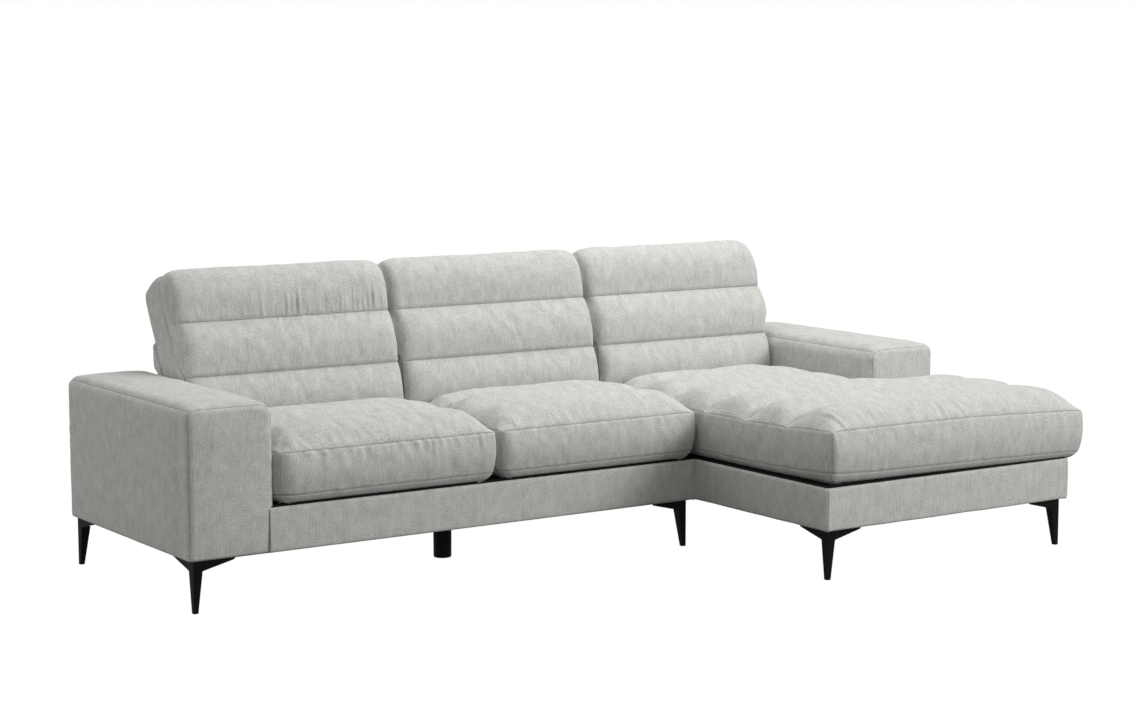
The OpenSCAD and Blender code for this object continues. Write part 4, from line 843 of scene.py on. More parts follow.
def wrap_profile(low_z, high_z, top_r, count, top_depths):
    """The outer and inner line of a cover, from its stapled edge below to the one above: count is for
    the stations up the face, top_depths for those over the top"""
    turn_points = 5
    face_z = np.linspace(low_z + flat_from, high_z - flat_from, count)
    outer = ([(lap_under, low_z), (turn_in, low_z)]
             + arc((edge_r, low_z + edge_r), edge_r, 270, 180, turn_points) + [(0.0, z) for z in face_z]
             + arc((top_r, high_z - top_r), top_r, 180, 90, turn_points) + [(d, high_z) for d in top_depths])
    inner = ([(lap_under, low_z + cover_t), (turn_in, low_z + cover_t)]
             + [(cover_t, low_z + cover_t)] * turn_points + [(cover_t, z) for z in face_z]
             + [(cover_t, high_z - cover_t)] * turn_points + [(d, high_z - cover_t) for d in top_depths])
    return outer, inner


base_low, base_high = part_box("sofa_front_cover")
lap_over, tuck, rail_step, rail_swell = 0.0132, 0.004, 0.014, 0.0015
rail_outer, rail_inner = wrap_profile(base_low.z, base_high.z, edge_r, 8, [lap_over])
front = wrap("sofa_rail_cloth", [(base_low.x - tuck, base_low.y), (base_high.x, base_low.y)],
             rail_outer, rail_inner, rail_step, 5, swell=rail_swell)
finish_cloth(front, "root", ["sofa_front_cover"])
left_low, left_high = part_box("chaise_left_cover")
right_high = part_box("chaise_right_cover")[1]
chaise_walk = [(left_low.x, left_high.y), (left_low.x, left_low.y), (right_high.x, left_low.y),
               (right_high.x, right_high.y)]
chaise_base = wrap("chaise_rail_cloth", chaise_walk, rail_outer, rail_inner, rail_step, 8, swell=rail_swell)
finish_cloth(chaise_base, "root", ["chaise_front_cover", "chaise_left_cover", "chaise_right_cover"])

top_r, back_step, back_slack, back_swell = 0.012, 0.016, 0.0016, 0.003
# The chaise's outside back also goes round its end between the modules, just inside the base's side
end_clear, end_back = 0.0005, 0.004
for name, seed in (("sofa_rear_cover", 13), ("chaise_rear_cover", 17)):
    low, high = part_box(name)
    top_depths = np.linspace(flat_from, high.y - low.y, 8)
    back_outer, back_inner = wrap_profile(low.z, high.z, top_r, 24, top_depths)
    walk = [(high.x, high.y), (low.x, high.y)]
    if name == "chaise_rear_cover":
        end_x = left_low.x + end_clear
        walk = [(high.x, high.y), (end_x, high.y), (end_x, low.y - end_back)]
    outside = wrap(name.replace("_rear_cover", "_outside_back"), walk, back_outer, back_inner, back_step,
                   seed, slack=back_slack, swell=back_swell)
    finish_cloth(outside, "root", [name])


# Bolsters
# Firm wedges of foam in their own sewn cases, screwed on top of the outside backs. The back units
# lean back against them, and their ends show behind the units.
def round_off(gap, reach):
    """A quarter round from 0 at an end to 1 at its reach"""
    return np.sqrt(np.clip(1 - (1 - np.clip(gap / reach, 0, 1)) ** 2, 0, 1))


def bolster(name, seed):
    """One wedge on a narrow foot: its rear bellies out over the foot, and it leans back to a thin tip"""
    low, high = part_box(name)
    foot_t, belly_z, tuck_r, tip_r, lean = 0.044, low.z + 0.0647, 0.020, 0.003, math.radians(28.3)
    end_w, end_reach, droop_reach, end_share, end_droop = 0.02, 0.018, 0.030, 0.78, 0.022
    slack, line_depth, ridge, end_gap = 0.0012, 0.0010, 0.0006, 0.02
    tip = (low.y + (high.z - tip_r - low.z) * math.tan(lean) + tip_r / math.cos(lean), high.z - tip_r)
    rear = [(low.y + foot_t, low.z), (low.y + foot_t + 0.001, low.z + 0.02),
            (low.y + foot_t + 0.002, belly_z - 0.027)]
    rear += arc((high.y - tuck_r, belly_z), tuck_r, -50, 8, 6)
    top = np.array(arc(tip, tip_r, 8, 60, 2))
    rear += [tuple(p) for p in np.linspace(rear[-1], top[0], 7)[1:]] + [tuple(top[1])]
    share = np.linspace(0, 1, len(rear))
    face = [(low.y + (tip[0] - tip_r - low.y) * t, low.z + (high.z - 2 * tip_r - low.z) * t) for t in share]
    rear, face = np.array(rear), np.array(face)
    xs = stations([low.x, low.x + end_w, high.x - end_w, high.x], 0.016, (0.003, 0.008))
    gap = np.minimum(xs - low.x, high.x - xs)
    squeeze = end_share + (1 - end_share) * round_off(gap, end_reach)
    middle = (rear + face) / 2
    droop = end_droop * (1 - round_off(gap, droop_reach))

    def panel(line):
        """A panel along the bolster that thins and droops towards its ends"""
        grid = middle[None] + (line - middle)[None] * squeeze[:, None, None]
        height = np.clip((grid[..., 1] - low.z) / (high.z - low.z), 0, 1)
        grid[..., 1] -= droop[:, None] * height ** 2
        return np.concatenate([np.broadcast_to(xs[:, None, None], grid.shape[:2] + (1,)), grid], -1)

    shell, lining = panel(rear), panel(face)
    n, m = shell.shape[:2]
    climb = np.concatenate([[0], np.cumsum(np.linalg.norm(np.diff(rear, axis=0), axis=1))])
    cloth = np.stack(np.broadcast_arrays(xs[:, None], climb[None, :]), -1)
    gaps = np.minimum(gap[:, None], np.minimum(climb[-1] - climb, 1.0)[None, :])
    panels = [dict(at=shell, cloth=cloth, away=gaps),
              dict(at=lining, cloth=cloth, held=np.ones((n, m)))] + hems(shell, lining, cloth)
    for i in (0, n - 1):
        panels.append(dict(at=np.stack([shell[i], lining[i]], 1), away=np.full((m, 2), end_gap),
                           cloth=np.stack([rear, face], 1)))
    piece = smooth_once(sew(name + "_case", panels))
    mesh = piece.data
    co, out = places(mesh), normals(mesh)
    loose = np.clip(1 - mark(mesh, "held"), 0, 1) * np.clip((co[:, 2] - low.z) / 0.02, 0, 1)
    wave = slack * ripple(co[:, 0], seed, (0.10, 0.17, 0.29)) * ripple(co[:, 2], seed + 1, (0.08, 0.13))
    dent = seam_dent(mark(mesh, "away"), line_depth, ridge)
    move(mesh, co + out * ((wave - dent) * loose)[:, None])
    finish_cloth(piece, "root", [name])


bolster("sofa_bolster", 19)
bolster("chaise_bolster", 29)


# Seat cushions
# Foam wrapped in wadding. A stitched seam runs round the top and another round the foot of the border,
# and cross seams sew the top down into channels. The cloth gathers along the front seams.
def border_of(nu, nv, iu, jv):
    """Grid points round the cut plan, from the front left corner anticlockwise"""
    line = [(i, 0) for i in range(nu)] + [(nu, j) for j in range(jv if iu < nu else nv)]
    if iu < nu:
        line += [(i, jv) for i in range(nu, iu, -1)] + [(iu, j) for j in range(jv, nv)]
    return line + [(i, nv) for i in range(iu if iu < nu else nu, 0, -1)] + [(0, j) for j in range(nv, 0, -1)]


def relax(piece, cap=0.007, pressure=0.9, spread=0.006, frames=18):
    """Cloth simulation with the seams held: the panels fill out, and spare cloth gathers at the seams.
    cap: the most that a point moves; spread: the share by which the cloth is cut too wide"""
    mesh = piece.data
    before, held = places(mesh), mark(mesh, "held")
    pins = piece.vertex_groups.new(name="seams")
    for k in np.where(held > 0.5)[0]:
        pins.add([int(k)], 1.0, "REPLACE")
    cloth = piece.modifiers.new("fill", "CLOTH")
    work = cloth.settings
    work.quality = 5
    work.mass = 0.25
    work.tension_stiffness = work.compression_stiffness = 12
    work.shear_stiffness = 6
    work.bending_stiffness = 0.4
    work.use_pressure = True
    work.uniform_pressure_force = pressure
    work.shrink_min = -spread
    work.vertex_group_mass = "seams"
    work.effector_weights.gravity = 0
    cloth.point_cache.frame_start, cloth.point_cache.frame_end = 1, frames
    for number in range(1, frames + 1):
        scene.frame_set(number)
    solid = piece.evaluated_get(bpy.context.evaluated_depsgraph_get()).to_mesh()
    shift = places(solid) - before
    piece.modifiers.remove(cloth)
    piece.vertex_groups.clear()
    scene.frame_set(1)
    size = np.linalg.norm(shift, axis=1, keepdims=True)
    move(mesh, before + shift * np.minimum(1, cap / np.maximum(size, 1e-9)))


def seat_cushion(name, seams, notch, corner_rs, lifts=(), short=0.0, over=0.0, step_x=0.009, step_y=0.016,
                 crown=0.034, puff=0.041, front_h=0.152, band_h=0.028):
    """seams: places of the cross seams along Y; notch: corner that the right arm takes away, or None;
    corner_rs: plan radius of the top seam at the front left, front right and other corners; lifts:
    (place along X, rise of the top seam, rise of the low seam) at the front; short, over: how far the
    left side stands in and the right side out"""
    low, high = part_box(name)
    bow_x, bow_y, corner, inset = 0.006, 0.013, 0.060, 0.040
    pinch_depth, pinch_w, fullness, lift_reach = 0.003, 0.016, 0.68, 0.40
    dome_x, dome_y, puff_x, puff_cut, far = 0.21, 0.15, 0.07, 0.08, 9.0
    bulge_in, tuck_share, turn_more, turn_gap, slide_reach = 0.014, 0.55, 0.034, 0.055, 0.2
    left, front, floor_z = low.x + bow_x + short, low.y + bow_y, low.z
    right, rear = high.x - bow_x + over, high.y - bow_y
    cut_x, cut_y = (notch[0] - bow_x, notch[1] - bow_y) if notch else (right, rear)
    marks_x = [left, left + corner, right - corner, right]
    if notch:
        marks_x.insert(2, cut_x)
    ends = [front] + [s for s in seams if front < s < rear] + [rear]
    marks_y = sorted(ends + [front + corner, rear - corner] + ([cut_y] if notch else []))
    us, vs = stations(marks_x, step_x, (0.003, 0.008)), stations(marks_y, step_y, (0.003, 0.008))
    iu = int(np.argmin(abs(us - cut_x))) if notch else len(us) - 1
    jv = int(np.argmin(abs(vs - cut_y))) if notch else len(vs) - 1
    X, Y = np.meshgrid(us, vs, indexing="ij")

    def cornered(x, y, extra):
        """Rounds the outer corners in plan, by each corner's radius and an extra"""
        x, y = x.copy(), y.copy()
        spots = ((left, front, -1, -1, corner_rs[0]), (right, front, 1, -1, corner_rs[1]),
                 (right, cut_y, 1, 1, corner_rs[2]), (cut_x, rear, 1, 1, corner_rs[2]),
                 (left, rear, -1, 1, corner_rs[2]))
        for cx, cy, sx, sy, own in spots if notch else (spots[0], spots[1], spots[2], spots[4]):
            radius = min(own + extra, corner)
            px, py = corner - sx * (cx - x), corner - sy * (cy - y)
            near = (px >= 0) & (py >= 0) & (px <= corner + 1e-9) & (py <= corner + 1e-9)
            big = np.maximum(px, py)
            # From a square ring to a ring with round corners of this radius
            flat = corner - radius
            qx, qy = np.maximum(px - flat * big / corner, 0), np.maximum(py - flat * big / corner, 0)
            reach = radius * big / corner
            k = reach / np.maximum(np.hypot(qx, qy), 1e-9)
            bent = near & (qx > 0) & (qy > 0)
            rx, ry = flat * big / corner + qx * k, flat * big / corner + qy * k
            x = np.where(bent, cx - sx * (corner - rx), x)
            y = np.where(bent, cy - sy * (corner - ry), y)
        return x, y

    def side_x(x, y):
        """The gap to the nearer side"""
        return np.minimum(x - left, np.where(y > cut_y + 1e-6, cut_x, right) - x)

    def side_y(x, y):
        """The gap to the nearer of front and rear"""
        return np.minimum(y - front, np.where(x > cut_x + 1e-6, cut_y, rear) - y)

    gx, gy = np.maximum(side_x(X, Y), 0), np.maximum(side_y(X, Y), 0)
    cut = np.hypot(np.maximum(cut_x - X, 0), np.maximum(cut_y - Y, 0)) if notch else np.full_like(X, far)
    channel = np.clip(np.searchsorted(ends, Y, side="right") - 1, 0, len(ends) - 2)
    start, stop = np.array(ends)[channel], np.array(ends)[channel + 1]
    share = np.clip((Y - start) / (stop - start), 0, 1)
    swell = np.sin(np.pi * share) ** fullness
    seam_gap = np.min([abs(Y - s) for s in ends[1:-1]], axis=0)
    pinch = np.exp(-(seam_gap / pinch_w) ** 2)
    dome = rise(np.minimum(gx, cut), dome_x) * rise(gy, dome_y) * rise(cut, dome_x)
    filled = rise(gx, puff_x) * rise(cut, puff_cut) * swell
    top_z = floor_z + front_h - pinch_depth * pinch + crown * dome + puff * filled
    spots, high_by, low_by = np.array(lifts or [(left, 0, 0)]).T

    def near_front(y):
        """1 at the front, falling to 0 where the lifts end"""
        return np.clip(1 - (y - front) / lift_reach, 0, 1) ** 1.5

    top_z += np.interp(X, spots, high_by) * near_front(Y)
    px, py = cornered(X, Y, 0.0)
    edge_gap = np.minimum(np.minimum(gx, gy), np.where(cut < 0.001, 0, cut))
    top = dict(at=np.stack([px, py, top_z], -1), cloth=np.stack([X, Y], -1),
               away=edge_gap, along=np.where(gx < gy, Y, X),
               held=(np.minimum(edge_gap, seam_gap) < 0.001).astype(float))
    kept = np.ones((len(us) - 1, len(vs) - 1), bool)
    if notch:
        kept[iu:, jv:] = False
    top["keep"] = kept
    line = border_of(len(us) - 1, len(vs) - 1, iu, jv)
    line = np.array(line + line[:1])
    ex, ey = us[line[:, 0]], vs[line[:, 1]]
    out_x = np.where(np.isclose(ex, left), -1.0, np.where(np.isclose(ex, right), 1.0,
                     np.where(np.isclose(ex, cut_x) & (ey > cut_y - 1e-6), 1.0, 0.0)))
    out_y = np.where(np.isclose(ey, front), -1.0, np.where(np.isclose(ey, rear), 1.0,
                     np.where(np.isclose(ey, cut_y) & (ex > cut_x - 1e-6), 1.0, 0.0)))
    # Border: a bowed band between the two seams, then a quarter turn under to the deck
    ts = stations([0, 1], 0.115, (0.03, 0.075))
    profile = [(front_h - (front_h - band_h) * t, math.sin(math.pi * t) ** 0.8, bulge_in * rise(t, 1),
                min(t, 1 - t) * (front_h - band_h)) for t in ts]
    for a in np.linspace(0, 90, 8)[1:]:
        turn = math.radians(a)
        tucked = tuck_share * a / 90 + (1 - tuck_share) * (1 - math.cos(turn))
        profile.append((band_h * (1 - math.sin(turn)), -tucked, bulge_in + turn_more * a / 90,
                        turn_gap * a / 90))
    rings = []
    for h, out, extra, _ in profile:
        x, y = cornered(ex, ey, extra)
        flat = np.hypot(out_x, out_y)
        reach_x, reach_y = (bow_x * out, bow_y * out) if out > 0 else (inset * out, inset * out)
        rings.append(np.stack([x + out_x * reach_x / flat, y + out_y * reach_y / flat,
                               np.full_like(x, floor_z + h)], -1))
    drop = (rings[0][:, 2] - top_z[line[:, 0], line[:, 1]])
    raised = np.interp(ex, spots, low_by) * near_front(ey)
    heights = np.array([p[0] for p in profile])
    for ring, h in zip(rings, heights):
        share = np.clip((h - band_h) / (front_h - band_h), 0, 1)
        ring[:, 2] += raised * (1 - share) * (0.5 + 0.5 * np.clip(h / band_h, 0, 1)) - drop * share
    length = np.concatenate([[0], np.cumsum(np.hypot(np.diff(ex), np.diff(ey)))])
    shape = (len(line), len(profile))
    border = dict(at=np.stack(rings, 1),
                  cloth=np.stack(np.broadcast_arrays(length[:, None], heights[None, :]), -1),
                  away=np.broadcast_to(np.array([p[3] for p in profile])[None, :], shape),
                  along=np.broadcast_to(length[:, None], shape),
                  held=np.broadcast_to(np.array([1.0 if i == 0 or i >= len(ts) - 1 else 0.0
                                                 for i in range(len(profile))])[None, :], shape))
    # Underside: flat on the deck, its edge where the last ring ends
    right_at = np.where(Y > cut_y + 1e-6, cut_x, right)
    rear_at = np.where(X > cut_x + 1e-6, cut_y, rear)

    def ease(gap):
        """1 at an edge of the underside, 0 well inside it"""
        return np.clip(1 - gap / slide_reach, 0, 1)

    slide_x = inset * (ease(X - left) - ease(right_at - X))
    slide_y = inset * (ease(Y - front) - ease(rear_at - Y))
    under_at = np.stack([X + slide_x, Y + slide_y, np.full_like(X, floor_z)], -1)
    under_at[line[:-1, 0], line[:-1, 1]] = rings[-1][:-1]
    under = dict(at=under_at, cloth=np.stack([X, Y], -1), keep=kept, held=np.ones_like(X))
    rows = [border["at"][:, 0], border["at"][:, len(ts) - 1]]
    piece = sew(name + "_soft", [top, border, under], rows)
    piece["seams"] = [front, floor_z + front_h, floor_z + band_h]
    return piece


def dress_seat(piece, seed, pulls):
    """Stitched seams and gathers. pulls: (place, start, end, count, length, height, slant)"""
    pull_w, near = 0.0085, 0.2
    fold_height, fold_from, fold_fade, slack, foot_reach = 0.0012, 0.008, 0.03, 0.0016, 0.03
    line_depth, ridge = 0.0016, 0.0002
    smooth_once(piece)
    mesh = piece.data
    co, out = places(mesh), normals(mesh)
    away, along = mark(mesh, "away"), mark(mesh, "along")
    front, seam_z, low_z = piece["seams"]
    face = np.clip(-out[:, 1] * 1.6 - 0.5, 0, 1)
    top = np.clip(out[:, 2] * 1.6 - 0.5, 0, 1)
    total = np.zeros(len(co))
    for k, (place, start, end, count, length, height, slant) in enumerate(pulls):
        d, mask = {"under top seam": (seam_z - co[:, 2], face), "over low seam": (co[:, 2] - low_z, face),
                   "over top seam": (co[:, 1] - front, top)}[place]
        mask = mask * (d > 0) * (co[:, 1] < front + near)
        total += mask * gathers(co[:, 0], np.maximum(d, 0), seed + 10 * k, start, end, count, length, height,
                                slant, pull_w)
    bunches = np.clip(ripple(along, seed + 2, (0.21, 0.33, 0.5)) + 0.2, 0, 1)
    folds = ripple(along, seed, (0.023, 0.037, 0.061)) * bunches
    folds = fold_height * folds * np.clip(away / fold_from, 0, 1) * np.exp(-away / fold_fade)
    wave = slack * (ripple(co[:, 0] + 0.5 * co[:, 1], seed + 4, (0.12, 0.19, 0.3))
                    * ripple(co[:, 1] - 0.3 * co[:, 0], seed + 5, (0.15, 0.22)))
    off_deck = np.clip((co[:, 2] - co[:, 2].min()) / foot_reach, 0, 1)
    shift = (total + folds + wave - seam_dent(away, line_depth, ridge)) * off_deck
    move(mesh, co + out * shift[:, None])


seats = []
seat_seams = (0.0995, 0.2695)
chaise_seams = (-0.5355, -0.3355, -0.1355, 0.0645, 0.2645)
arm_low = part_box("right_arm_cover")[0]
arm_clear = 0.004
arm_notch = (arm_low.x - arm_clear, arm_low.y - arm_clear)
# The chaise's front seams dip and rise: place along X, rise of the top seam, rise of the low seam
chaise_lifts = [(0.36, 0.016, 0.015), (0.52, 0.017, 0.006), (0.93, 0.015, 0.0), (1.23, 0.004, -0.006),
                (1.40, -0.003, -0.010)]
for name, seams, notch, seed, corner_rs, lifts, short, over, pulls in (
        ("left_seat_cushion", seat_seams, None, 31, (0.052, 0.010, 0.020), [], 0.009, 0.0, [
            ("under top seam", -1.05, -0.44, 22, 0.055, 0.0066, 0.0),
            ("over top seam", -1.10, -0.80, 9, 0.060, 0.0056, -0.5),
            ("over top seam", -0.66, -0.40, 8, 0.050, 0.0046, 0.3),
            ("over low seam", -1.05, -0.60, 10, 0.035, 0.0024, 0.0)]),
        ("middle_seat_cushion", seat_seams, None, 47, (0.030, 0.012, 0.020), [], 0.002, 0.0, [
            ("over top seam", -0.34, -0.05, 9, 0.055, 0.0050, -0.4),
            ("under top seam", -0.30, 0.30, 14, 0.050, 0.0038, 0.0),
            ("over low seam", -0.32, -0.1, 6, 0.030, 0.0022, 0.0)]),
        ("chaise_cushion", chaise_seams, arm_notch, 59, (0.004, 0.018, 0.020), chaise_lifts, 0.0, 0.020, [
            ("over top seam", 0.40, 0.95, 17, 0.085, 0.0080, -0.15),
            ("under top seam", 0.55, 0.95, 10, 0.040, 0.0018, 0.0),
            ("under top seam", 1.10, 1.36, 6, 0.080, 0.0040, 0.0),
            ("over top seam", 1.02, 1.30, 7, 0.060, 0.0040, 0.2)])):
    seat = seat_cushion(name, seams, notch, corner_rs, lifts, short, over)
    relax(seat)
    dress_seat(seat, seed, pulls)
    finish_cloth(seat, "root", [name])
    seats.append(seat)
stitch("seat_and_arm_stitches", "root", arms + seats)


# Back units
# Each is one upholstered wedge: a front pad sewn into two flat channels and a roll that turns over the
# top, a side gusset, a top panel and an outside back. It leans back on the bolster behind it.

# Side view of a unit: its foot, the heights and leans of the two channels, the roll's height and depth
# with the reach of its curve at the front and at the top, then the outside back and its round corner
back = dict(foot_y=0.4425, rear_y=0.5545, foot_z=0.425, low=0.165, low_lean=0.1139, mid=0.160, lean=0.3620,
            roll_h=0.138, roll_d=0.127, reach=0.100, flat=0.058, over=0.014,
            rear_lean=math.radians(28.3), corner_r=0.036, corner_drop=0.081)
# How far back the gusset seam lies at each station up the unit
seam_start = 0.018
seam_up = (0, 1, 1.3, 1.7, 2, 2.3, 2.5, 3)
seam_in = (0, 0.10, 0.36, 0.58, 0.72, 0.87, 0.93, 1)


def back_face(v):
    """The unpuffed front of a back unit, from its foot at 0 to the roll seam at 3, and its outward way"""
    q = back
    v = np.asarray(v, float)
    size = math.hypot(q["lean"], 1)
    low, mid = np.clip(v, 0, 1) * q["low"], np.clip(v - 1, 0, 1) * q["mid"]
    y, z = q["foot_y"] + low * q["low_lean"] + mid * q["lean"], q["foot_z"] + low + mid
    # The roll: up along the lean, then over to the seam at the rear of the top
    t = np.clip(v - 2, 0, 1)
    ends = np.array([[0, 0], [q["reach"] * q["lean"] / size, q["reach"] / size],
                     [q["roll_d"] - q["flat"], q["roll_h"] + q["over"]], [q["roll_d"], q["roll_h"]]])
    weights = [(1 - t) ** 3, 3 * t * (1 - t) ** 2, 3 * t * t * (1 - t), t ** 3]
    y = y + sum(w * e[0] for w, e in zip(weights, ends))
    z = z + sum(w * e[1] for w, e in zip(weights, ends))
    slopes = [3 * (1 - t) ** 2, 6 * t * (1 - t), 3 * t * t]
    dy = sum(w * (ends[i + 1] - ends[i])[0] for i, w in enumerate(slopes))
    dz = sum(w * (ends[i + 1] - ends[i])[1] for i, w in enumerate(slopes))
    length = np.hypot(dy, dz)
    return y, z, -dz / length, dy / length


def back_rear(v):
    """The rear of a back unit at the same stations: up the outside back, round the corner, over the top"""
    corner_from, corner_to, corner_end, top_crown = 2.3, 2.7, math.radians(62), 0.013
    q = back
    end_y, end_z, _, _ = back_face(np.array(3.0))
    centre_z = float(end_z) - q["corner_drop"]
    slope = math.tan(q["rear_lean"])
    low_z = centre_z - q["corner_r"] * math.sin(q["rear_lean"])
    centre_y = q["rear_y"] + (low_z - q["foot_z"]) * slope - q["corner_r"] * math.cos(q["rear_lean"])
    share = np.clip((v - corner_from) / (corner_to - corner_from), 0, 1)
    angle = -q["rear_lean"] + (corner_end + q["rear_lean"]) * share
    z_up = q["foot_z"] + (low_z - q["foot_z"]) * np.clip(v / corner_from, 0, 1)
    y = q["rear_y"] + (z_up - q["foot_z"]) * slope
    turn_y = centre_y + q["corner_r"] * np.cos(angle)
    turn_z = centre_z + q["corner_r"] * np.sin(angle)
    over = np.clip((v - corner_to) / (3 - corner_to), 0, 1)
    tip_y = centre_y + q["corner_r"] * math.cos(corner_end)
    tip_z = centre_z + q["corner_r"] * math.sin(corner_end)
    crown = top_crown * np.sin(np.pi * over)
    y = np.where(v > corner_from, turn_y, y)
    z = np.where(v > corner_from, turn_z, z_up)
    y = np.where(v > corner_to, tip_y + (float(end_y) - tip_y) * over, y)
    z = np.where(v > corner_to, tip_z + (float(end_z) - tip_z) * over + crown, z)
    return y, z


def back_seam(v):
    """The seam between pad and gusset"""
    share = np.interp(v, seam_up, seam_in)
    end_y, end_z, _, _ = back_face(np.array(3.0))
    start = back["foot_y"] + seam_start
    return start + (float(end_y) - start) * share, back["foot_z"] + (float(end_z) - back["foot_z"]) * v / 3


def back_unit(side, wide, corner_rs, bulge, step=0.0075, edge_r=0.026, edge_depth=0.019, edge_in=0.005):
    """wide: how far the left and right side stand out past the CAD cover; corner_rs: radius of the top
    left and top right corner; bulge: how far the right side hangs over the arm"""
    unit_h, hang_from, hang_reach, round_from = 0.463, 0.600, 0.05, 2.42
    rear_in, rear_more, top_from = 0.0015, 0.006, 2.7
    puff_height, side_share, puff_reach, pinch_in = 0.025, 0.55, 0.065, 0.006
    crest_fall, crest_reach, crest_from = 0.005, 0.11, 2.3
    rear_bow, rear_turn, rear_turn_reach, fall_from = 0.005, 0.005, 0.012, 2.45
    gusset_puff, rear_puff, inset_reach = 0.008, 0.003, 0.030
    low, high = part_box(side + "_back_cover")
    x0, x1 = low.x - wide[0], high.x + wide[1]
    middle = (x0 + x1) / 2
    near_x = (0.0015, 0.005, 0.011, 0.019)
    us = stations([x0, x0 + 0.07, x1 - 0.07, x1], step, near_x)
    vs = stations([0, 1, 2, 3], 0.060, (0.02, 0.055))

    def top_round(v, way):
        """How far a side stands in near its top corner, less what hangs over the arm"""
        t = np.clip((v - round_from) / (3 - round_from), 0, 1)
        radius = corner_rs[0] if way < 0 else corner_rs[1]
        round_in = radius * (1 - np.sqrt(np.maximum(1 - t ** 2, 0)))
        if way > 0 and bulge:
            height = back["foot_z"] + unit_h * v / 3
            lift = np.clip((height - hang_from) / hang_reach, 0, 1)
            round_in = round_in - bulge * lift * lift * (3 - 2 * lift) * np.clip((3 - v) / 0.8, 0, 1)
        return round_in

    def front_inset(v, way):
        """The inset of a side at the front edge"""
        return edge_in + top_round(v, way)

    def rear_inset(v, way):
        """The inset of a side at the outside back and the top panel"""
        return rear_in + (top_round(v, way) + rear_more) * np.clip((v - top_from) / (3 - top_from), 0, 1)

    def slid(x, v, inset):
        """Moves stations near the sides inwards by the inset at the side"""
        d = np.minimum(x - x0, x1 - x)
        pull = np.where(x < middle, inset(v, -1), -inset(v, 1))
        return x + pull * (1 - rise(d, 0.2))

    def face_at(x, v):
        """The puffed front: full between the seams, turned back at the sides"""
        y, z, oy, oz = back_face(v)
        d = np.minimum(x - x0, x1 - x)
        part = v - np.floor(v)
        low_puff, high_puff = 1.25 * np.sin(np.pi * part ** 0.85) ** 0.7, np.sin(np.pi * part) ** 0.72
        puff = np.where(v < 1, low_puff, high_puff) * (v < 3)
        near_foot = np.clip(v / 0.4, 0, 1)
        lift = puff_height * puff * (side_share + (1 - side_share) * rise(d, puff_reach))
        # The front turns into the sides in a quarter round
        turn = 1 - np.sqrt(1 - (1 - np.clip(d / edge_r, 0, 1)) ** 2)
        shallow = 1 - 0.55 * np.clip((v - 2.0) / 0.8, 0, 1)
        pinch = pinch_in * (1 - np.minimum(puff, 1)) * (v < 2.5)
        pull = turn * (edge_depth * shallow + pinch) * near_foot
        # The crest falls a little towards the top corners
        high_up = np.clip((v - crest_from) / (3 - crest_from), 0, 1)
        pull = pull + crest_fall * (1 - rise(d, crest_reach)) ** 1.5 * high_up
        return y + oy * (lift - pull), z + oz * (lift - pull)

    U, V = np.meshgrid(us, vs, indexing="ij")
    fy, fz = face_at(U, V)
    run = np.concatenate([[0], np.cumsum(np.hypot(*[np.diff(a) for a in back_face(vs)[:2]]))])
    seam_runs = np.interp([1, 2, 3], vs, run)
    to_seam = np.min([abs(run - r) for r in seam_runs], axis=0)
    D = np.minimum(U - x0, x1 - U)
    # The cloth runs on round the turned edges
    over = np.clip(1 - D / edge_r, 0, 1)
    laid = U + np.where(U < middle, -1, 1) * edge_r * (np.arcsin(over) - over)
    on_seam = (to_seam < 0.001) | (vs < 0.02)
    front = dict(at=np.stack([slid(U, V, front_inset), fy, fz], -1),
                 cloth=np.stack(np.broadcast_arrays(laid, run[None, :]), -1), up=V,
                 away=np.broadcast_to(to_seam[None, :], U.shape) + np.clip(0.010 - D, 0, 1) * 0.4, along=U,
                 held=np.broadcast_to(on_seam[None, :], U.shape).astype(float))
    ry, rz = back_rear(V)
    bow = rear_bow * rise(D, 0.2) * np.sin(np.pi * np.clip(V / 2.3, 0, 1))
    end_sag = face_at(us, np.full_like(us, 3.0))
    # The top panel falls with the seam towards the sides, and the outside back turns in there
    fall = np.clip((V - fall_from) / (3 - fall_from), 0, 1) ** 1.2
    rear_z = rz + (end_sag[1][:, None] - rz[:, -1:]) * fall
    ry = ry + (end_sag[0][:, None] - ry[:, -1:]) * fall
    ry = ry - rear_turn * (1 - rise(D, rear_turn_reach)) * (1 - fall) * np.clip(V / 0.2, 0, 1)
    rear = dict(at=np.stack([slid(U, V, rear_inset), ry + bow, rear_z], -1),
                cloth=np.stack(np.broadcast_arrays(U, run[None, :]), -1),
                away=np.minimum(D, (3 - V) * 0.3), along=V, held=np.ones_like(U))
    seam_x = slid(us, np.full_like(us, 3.0), front_inset)
    seam_line = np.stack([seam_x, end_sag[0], end_sag[1]], -1)
    front["at"][:, -1] = rear["at"][:, -1] = seam_line
    panels = [front, rear]
    # Sides: from the front edge back to the gusset seam, then to the outside back
    ss = np.concatenate([stations([0, 1], 0.14, (0.05, 0.12)), stations([1, 2], 0.1, (0.03, 0.08))[1:]])
    S, W = np.meshgrid(ss, vs, indexing="ij")
    sides = []
    inner = (us > x0 + 0.03) & (us < x1 - 0.03)
    rows = [front["at"][inner, int(np.argmin(abs(vs - k)))] for k in (1, 2, 3)]
    for x, way in ((x0, -1), (x1, 1)):
        py, pz = face_at(np.full_like(W, x), W)
        sy, sz = back_seam(W)
